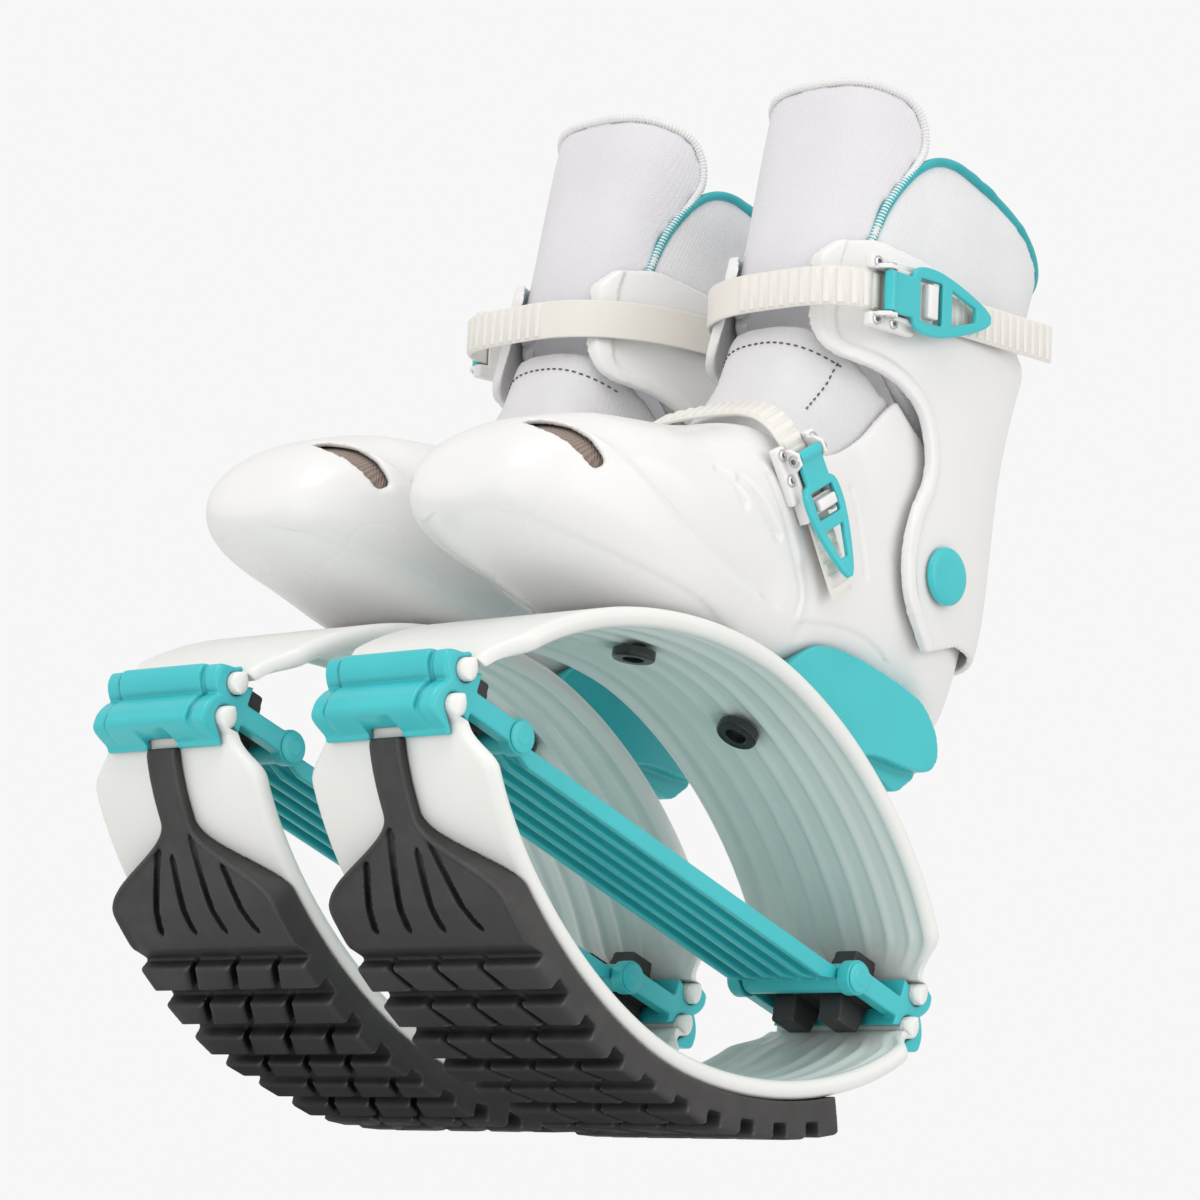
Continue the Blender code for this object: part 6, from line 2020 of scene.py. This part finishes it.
def cheek_mesh(side, inner, length):
    """One cheek of a buckle's base: high round the pin, then low beside the tab."""
    top = LEVER_PIN_HEIGHT + LEVER_BARREL_RADIUS
    low = LEVER_FLOOR - CLEARANCE
    floor = -STRAP_GAP - BUCKLE_FLOOR
    reach = LEVER_BARREL_RADIUS * 2
    end = TAB_BLOCK_shares[1][0] * length + BUCKLE_CHEEK
    outline = (
        (-reach, floor), (end, floor), (end, low - BUCKLE_CHEEK), (end - BUCKLE_CHEEK, low), (reach, low),
        (reach / 2, top), (-reach / 2, top), (-reach, low),
    )
    mesh = outline_mesh([outline], BUCKLE_CHEEK)
    middle = side * (inner + BUCKLE_CHEEK / 2)
    mesh.transform(Matrix.Translation((0, middle, 0)) @ BUCKLE_SIDE_PLANE)
    return mesh


def flange_mesh(side, inner, length):
    """One side of a buckle's housing, beside the strap, which its screws hold down."""
    edges = sorted((side * inner, side * (inner + BUCKLE_FLANGE)))
    floor = -STRAP_GAP - BUCKLE_FLOOR
    end = TAB_BLOCK_shares[0][0] * length
    return block((-BUCKLE_NOSE, edges[0], floor), (end, edges[1], BUCKLE_FLANGE_TOP), BUCKLE_BEVEL)


def screw_mesh(place):
    """A small pan head screw with a round socket, moved from the XY plane to its place."""
    mesh = turned((
        (0, SCREW_SOCKET_FLOOR), (SCREW_SOCKET_RADIUS, SCREW_SOCKET_FLOOR),
        (SCREW_SOCKET_RADIUS * 1.1, SCREW_HEIGHT), (SCREW_RADIUS * 0.8, SCREW_HEIGHT),
        (SCREW_RADIUS * 0.97, SCREW_HEIGHT * 0.6), (SCREW_RADIUS, 0), (0, -SCREW_HEIGHT),
    ), 24)
    mesh.transform(place)
    return mesh


class Buckle:
    """A ratchet buckle: a base with two cheeks, a lever on a pin, and a release tab in its window."""

    def __init__(self, prefix, body, strap, strap_width, reach, length, width):
        self.prefix = prefix
        self.body = body
        self.length = length
        self.width = width
        self.inner = strap_width / 2 + BUCKLE_SIDE_GAP
        self.outer = self.inner + BUCKLE_CHEEK
        self.frame = buckle_frame(strap, reach, length)
        for add in (self.add_base, self.add_lever, self.add_tab, self.add_screws):
            add()

    def rod_across(self, half_length, radius):
        """A rod along the lever's pin."""
        centre = Vector((0, 0, LEVER_PIN_HEIGHT))
        return rod_through(centre, Vector((0, half_length, 0)), radius, SMALL_FACETS)

    def hole(self):
        """The hole of the lever's pin."""
        return self.rod_across(self.outer + OVERRUN, LEVER_PIN_RADIUS + CLEARANCE)

    def show(self, mesh, name, body, material, nodes=(), degrees=35):
        """Move a piece to its place on the strap and show it."""
        mesh.transform(self.frame)
        publish(f"{self.prefix}_{name}", creased(mesh, degrees), body, (material,), nodes)

    def add_base(self):
        """The floor under the strap, with a cheek and a flange at each side."""
        end = TAB_BLOCK_shares[1][0] * self.length + BUCKLE_CHEEK
        parts = [block(
            (-LEVER_PIN_RADIUS, -self.outer + CLEARANCE, CLEARANCE - STRAP_GAP - BUCKLE_FLOOR),
            (end - CLEARANCE, self.outer - CLEARANCE, -STRAP_GAP),
        )]
        for make in (cheek_mesh, flange_mesh):
            parts += [make(side, self.inner, self.length) for side in (-1, 1)]
        base = carved(softened(merged(parts), FINE_VOXEL / 1.5, 2), [self.hole()])
        self.show(base, "base_form", self.body, WHITE_GLOSS, (f"{self.prefix}_buckle_base",), 60)

    def add_lever(self):
        """The lever with its barrel round the pin."""
        neck = self.inner - CLEARANCE
        barrel = self.rod_across(neck - CLEARANCE, LEVER_BARREL_RADIUS)
        plate = lever_mesh(self.length, self.width, neck)
        lever = carved(softened(merged([plate, barrel]), FINE_VOXEL / 1.5, 2), [self.hole()])
        node = f"{self.prefix}_buckle_lever"
        self.show(lever, "lever_form", f"{self.prefix}_lever", SEA_GREEN, (node,), 60)

    def add_tab(self):
        """The release tab: a bar between the cheeks with a knob in the lever's window."""
        (start, share), (stop, share) = TAB_BLOCK_shares
        start *= self.length
        stop *= self.length
        half = share * self.width / 2
        bar = block(
            (start, -self.inner + CLEARANCE, TAB_FLOOR),
            (stop, self.inner - CLEARANCE, TAB_FLOOR + TAB_THICKNESS), STRAP_BEVEL,
        )
        knob = block(
            (start + TAB_RISE, -half, TAB_FLOOR + TAB_THICKNESS / 2),
            (stop - TAB_RISE, half, LEVER_FLOOR + LEVER_THICKNESS + TAB_RISE), 2 * STRAP_BEVEL,
        )
        node = f"{self.prefix}_release_tab"
        self.show(merged([bar, knob]), "tab_form", f"{self.prefix}_tab", WHITE_GLOSS, (node,))

    def add_screws(self):
        """The screws at the ends of the lever's pin and in the flanges."""
        screws = []
        for side in (1, -1):
            place = Matrix.Translation((0, side * self.outer, LEVER_PIN_HEIGHT))
            screws.append(screw_mesh(place @ pointing((0, side, 0), "X")))
        middle = self.inner + BUCKLE_FLANGE / 2
        for along, side in ((-BUCKLE_NOSE / 2, 1), (-BUCKLE_NOSE / 2, -1), (BUCKLE_NOSE, -1)):
            screws.append(screw_mesh(Matrix.Translation((along, side * middle, BUCKLE_FLANGE_TOP))))
        self.show(merged(screws), "screws", self.body, STEEL)


def add_straps_and_buckles():
    """The two ladder straps, each with its buckle on the outer side."""
    top = Strap(
        TOP_STRAP_HEIGHT, TOP_STRAP_SLOPE_DEGREES, TOP_STRAP_CROWN, TOP_STRAP_FRONT,
        TOP_STRAP_HALF_WIDTH, (TOP_STRAP_BEND, TOP_STRAP_INNER_BEND),
        (TOP_STRAP_POWER, TOP_STRAP_INNER_POWER), (TOP_STRAP_TAIL, TOP_STRAP_ANCHOR),
    )
    instep = Strap(
        INSTEP_STRAP_HEIGHT, INSTEP_STRAP_SLOPE_DEGREES, INSTEP_STRAP_CROWN, INSTEP_STRAP_FRONT,
        INSTEP_STRAP_HALF_WIDTH, (INSTEP_STRAP_BEND, INSTEP_STRAP_BEND),
        (INSTEP_STRAP_POWER, INSTEP_STRAP_POWER), (INSTEP_STRAP_TAIL, INSTEP_STRAP_ANCHOR),
    )
    pieces = (
        ("top", "upper_leg", top, TOP_STRAP_WIDTH, TOP_BUCKLE_REACH, TOP_LEVER_LENGTH, TOP_LEVER_WIDTH),
        ("instep", "boot", instep, INSTEP_STRAP_WIDTH, INSTEP_BUCKLE_REACH, INSTEP_LEVER_LENGTH,
         INSTEP_LEVER_WIDTH),
    )
    for prefix, body, strap, width in [piece[:4] for piece in pieces]:
        mesh = creased(strap_mesh(strap, width), 40)
        publish(prefix + "_ladder", mesh, body, (CREAM_PLASTIC,), (prefix + "_strap",))
    for piece in pieces:
        Buckle(*piece)


def dress_pins():
    """Give the carried-over pins a steel material."""
    for name, item in frame["nodes"].items():
        if "_pin_" in name:
            item.data.materials.clear()
            item.data.materials.append(STEEL)


# Stage


def add_floor():
    """A pale floor that is only seen from above, because the camera looks up at the soles."""
    mesh = bpy.data.meshes.new("floor")
    corners = [(x * FLOOR_REACH, y * FLOOR_REACH, 0) for x, y in ((-1, -1), (1, -1), (1, 1), (-1, 1))]
    mesh.from_pydata(corners, [], [(0, 1, 2, 3)])
    item = placed("floor", mesh)
    material = bpy.data.materials.new("floor_paint")
    material.use_nodes = True
    tree = material.node_tree
    shader = tree.nodes["Principled BSDF"]
    shader.inputs["Base Color"].default_value = (0.88, 0.88, 0.885, 1)
    shader.inputs["Roughness"].default_value = 0.9
    clear = tree.nodes.new("ShaderNodeBsdfTransparent")
    mix = tree.nodes.new("ShaderNodeMixShader")
    geometry = tree.nodes.new("ShaderNodeNewGeometry")
    tree.links.new(geometry.outputs["Backfacing"], mix.inputs["Fac"])
    tree.links.new(shader.outputs["BSDF"], mix.inputs[1])
    tree.links.new(clear.outputs["BSDF"], mix.inputs[2])
    tree.links.new(mix.outputs["Shader"], tree.nodes["Material Output"].inputs["Surface"])
    mesh.materials.append(material)
    item.visible_diffuse = False
    item.visible_shadow = False


def add_world():
    """Even pale light all round, with a near-white background."""
    world = bpy.data.worlds.new("studio")
    bpy.context.scene.world = world
    world.use_nodes = True
    tree = world.node_tree
    light = tree.nodes["Background"]
    light.inputs["Color"].default_value = (1.0, 0.985, 0.965, 1)
    light.inputs["Strength"].default_value = 0.76
    seen = tree.nodes.new("ShaderNodeBackground")
    seen.inputs["Color"].default_value = (0.93, 0.93, 0.93, 1)
    path = tree.nodes.new("ShaderNodeLightPath")
    either = tree.nodes.new("ShaderNodeMath")
    either.operation = "MAXIMUM"
    tree.links.new(path.outputs["Is Camera Ray"], either.inputs[0])
    tree.links.new(path.outputs["Is Transmission Ray"], either.inputs[1])
    mix = tree.nodes.new("ShaderNodeMixShader")
    tree.links.new(either.outputs["Value"], mix.inputs["Fac"])
    tree.links.new(light.outputs["Background"], mix.inputs[1])
    tree.links.new(seen.outputs["Background"], mix.inputs[2])
    tree.links.new(mix.outputs["Shader"], tree.nodes["World Output"].inputs["Surface"])


def add_lamp(name, place, size, watts):
    """A soft square lamp that looks at the middle of the shoes."""
    lamp = bpy.data.lights.new(name, "AREA")
    lamp.energy = watts
    lamp.size = size
    item = placed(name, lamp)
    item.location = place
    look = Vector((0, 0, CAD_BOX[1][2] / 2)) - Vector(place)
    item.rotation_euler = look.to_track_quat("-Z", "Y").to_euler()


def add_camera():
    """The camera at the photograph's place and angle."""
    camera = bpy.data.cameras.new("camera")
    camera.sensor_width = SENSOR_MILLIMETRES
    camera.lens = CAMERA_FOCAL_PIXELS / PICTURE_WIDTH * SENSOR_MILLIMETRES
    camera.clip_start = CAMERA_CLIP_START
    right = Vector(CAMERA_RIGHT).normalized()
    down = Vector(CAMERA_DOWN).normalized()
    item = placed("camera", camera)
    item.matrix_world = Matrix.Translation(CAMERA_PLACE) @ axes(right, -down, -right.cross(down))
    bpy.context.scene.camera = item


def build():
    """Make every piece, then the stage."""
    for add in (
        add_springs, add_mount_bolts, add_tread, add_clips, add_band, add_pin_caps, add_bump_stops,
        add_boot_shell, add_heel_pad, add_boot_liner, add_tongue, add_collar, add_cuff,
        add_ankle_rivets, add_straps_and_buckles, dress_pins, add_floor, add_world, add_camera,
    ):
        add()
    for lamp in LAMPS:
        add_lamp(*lamp)
    bpy.context.scene.view_settings.view_transform = "Standard"


build()
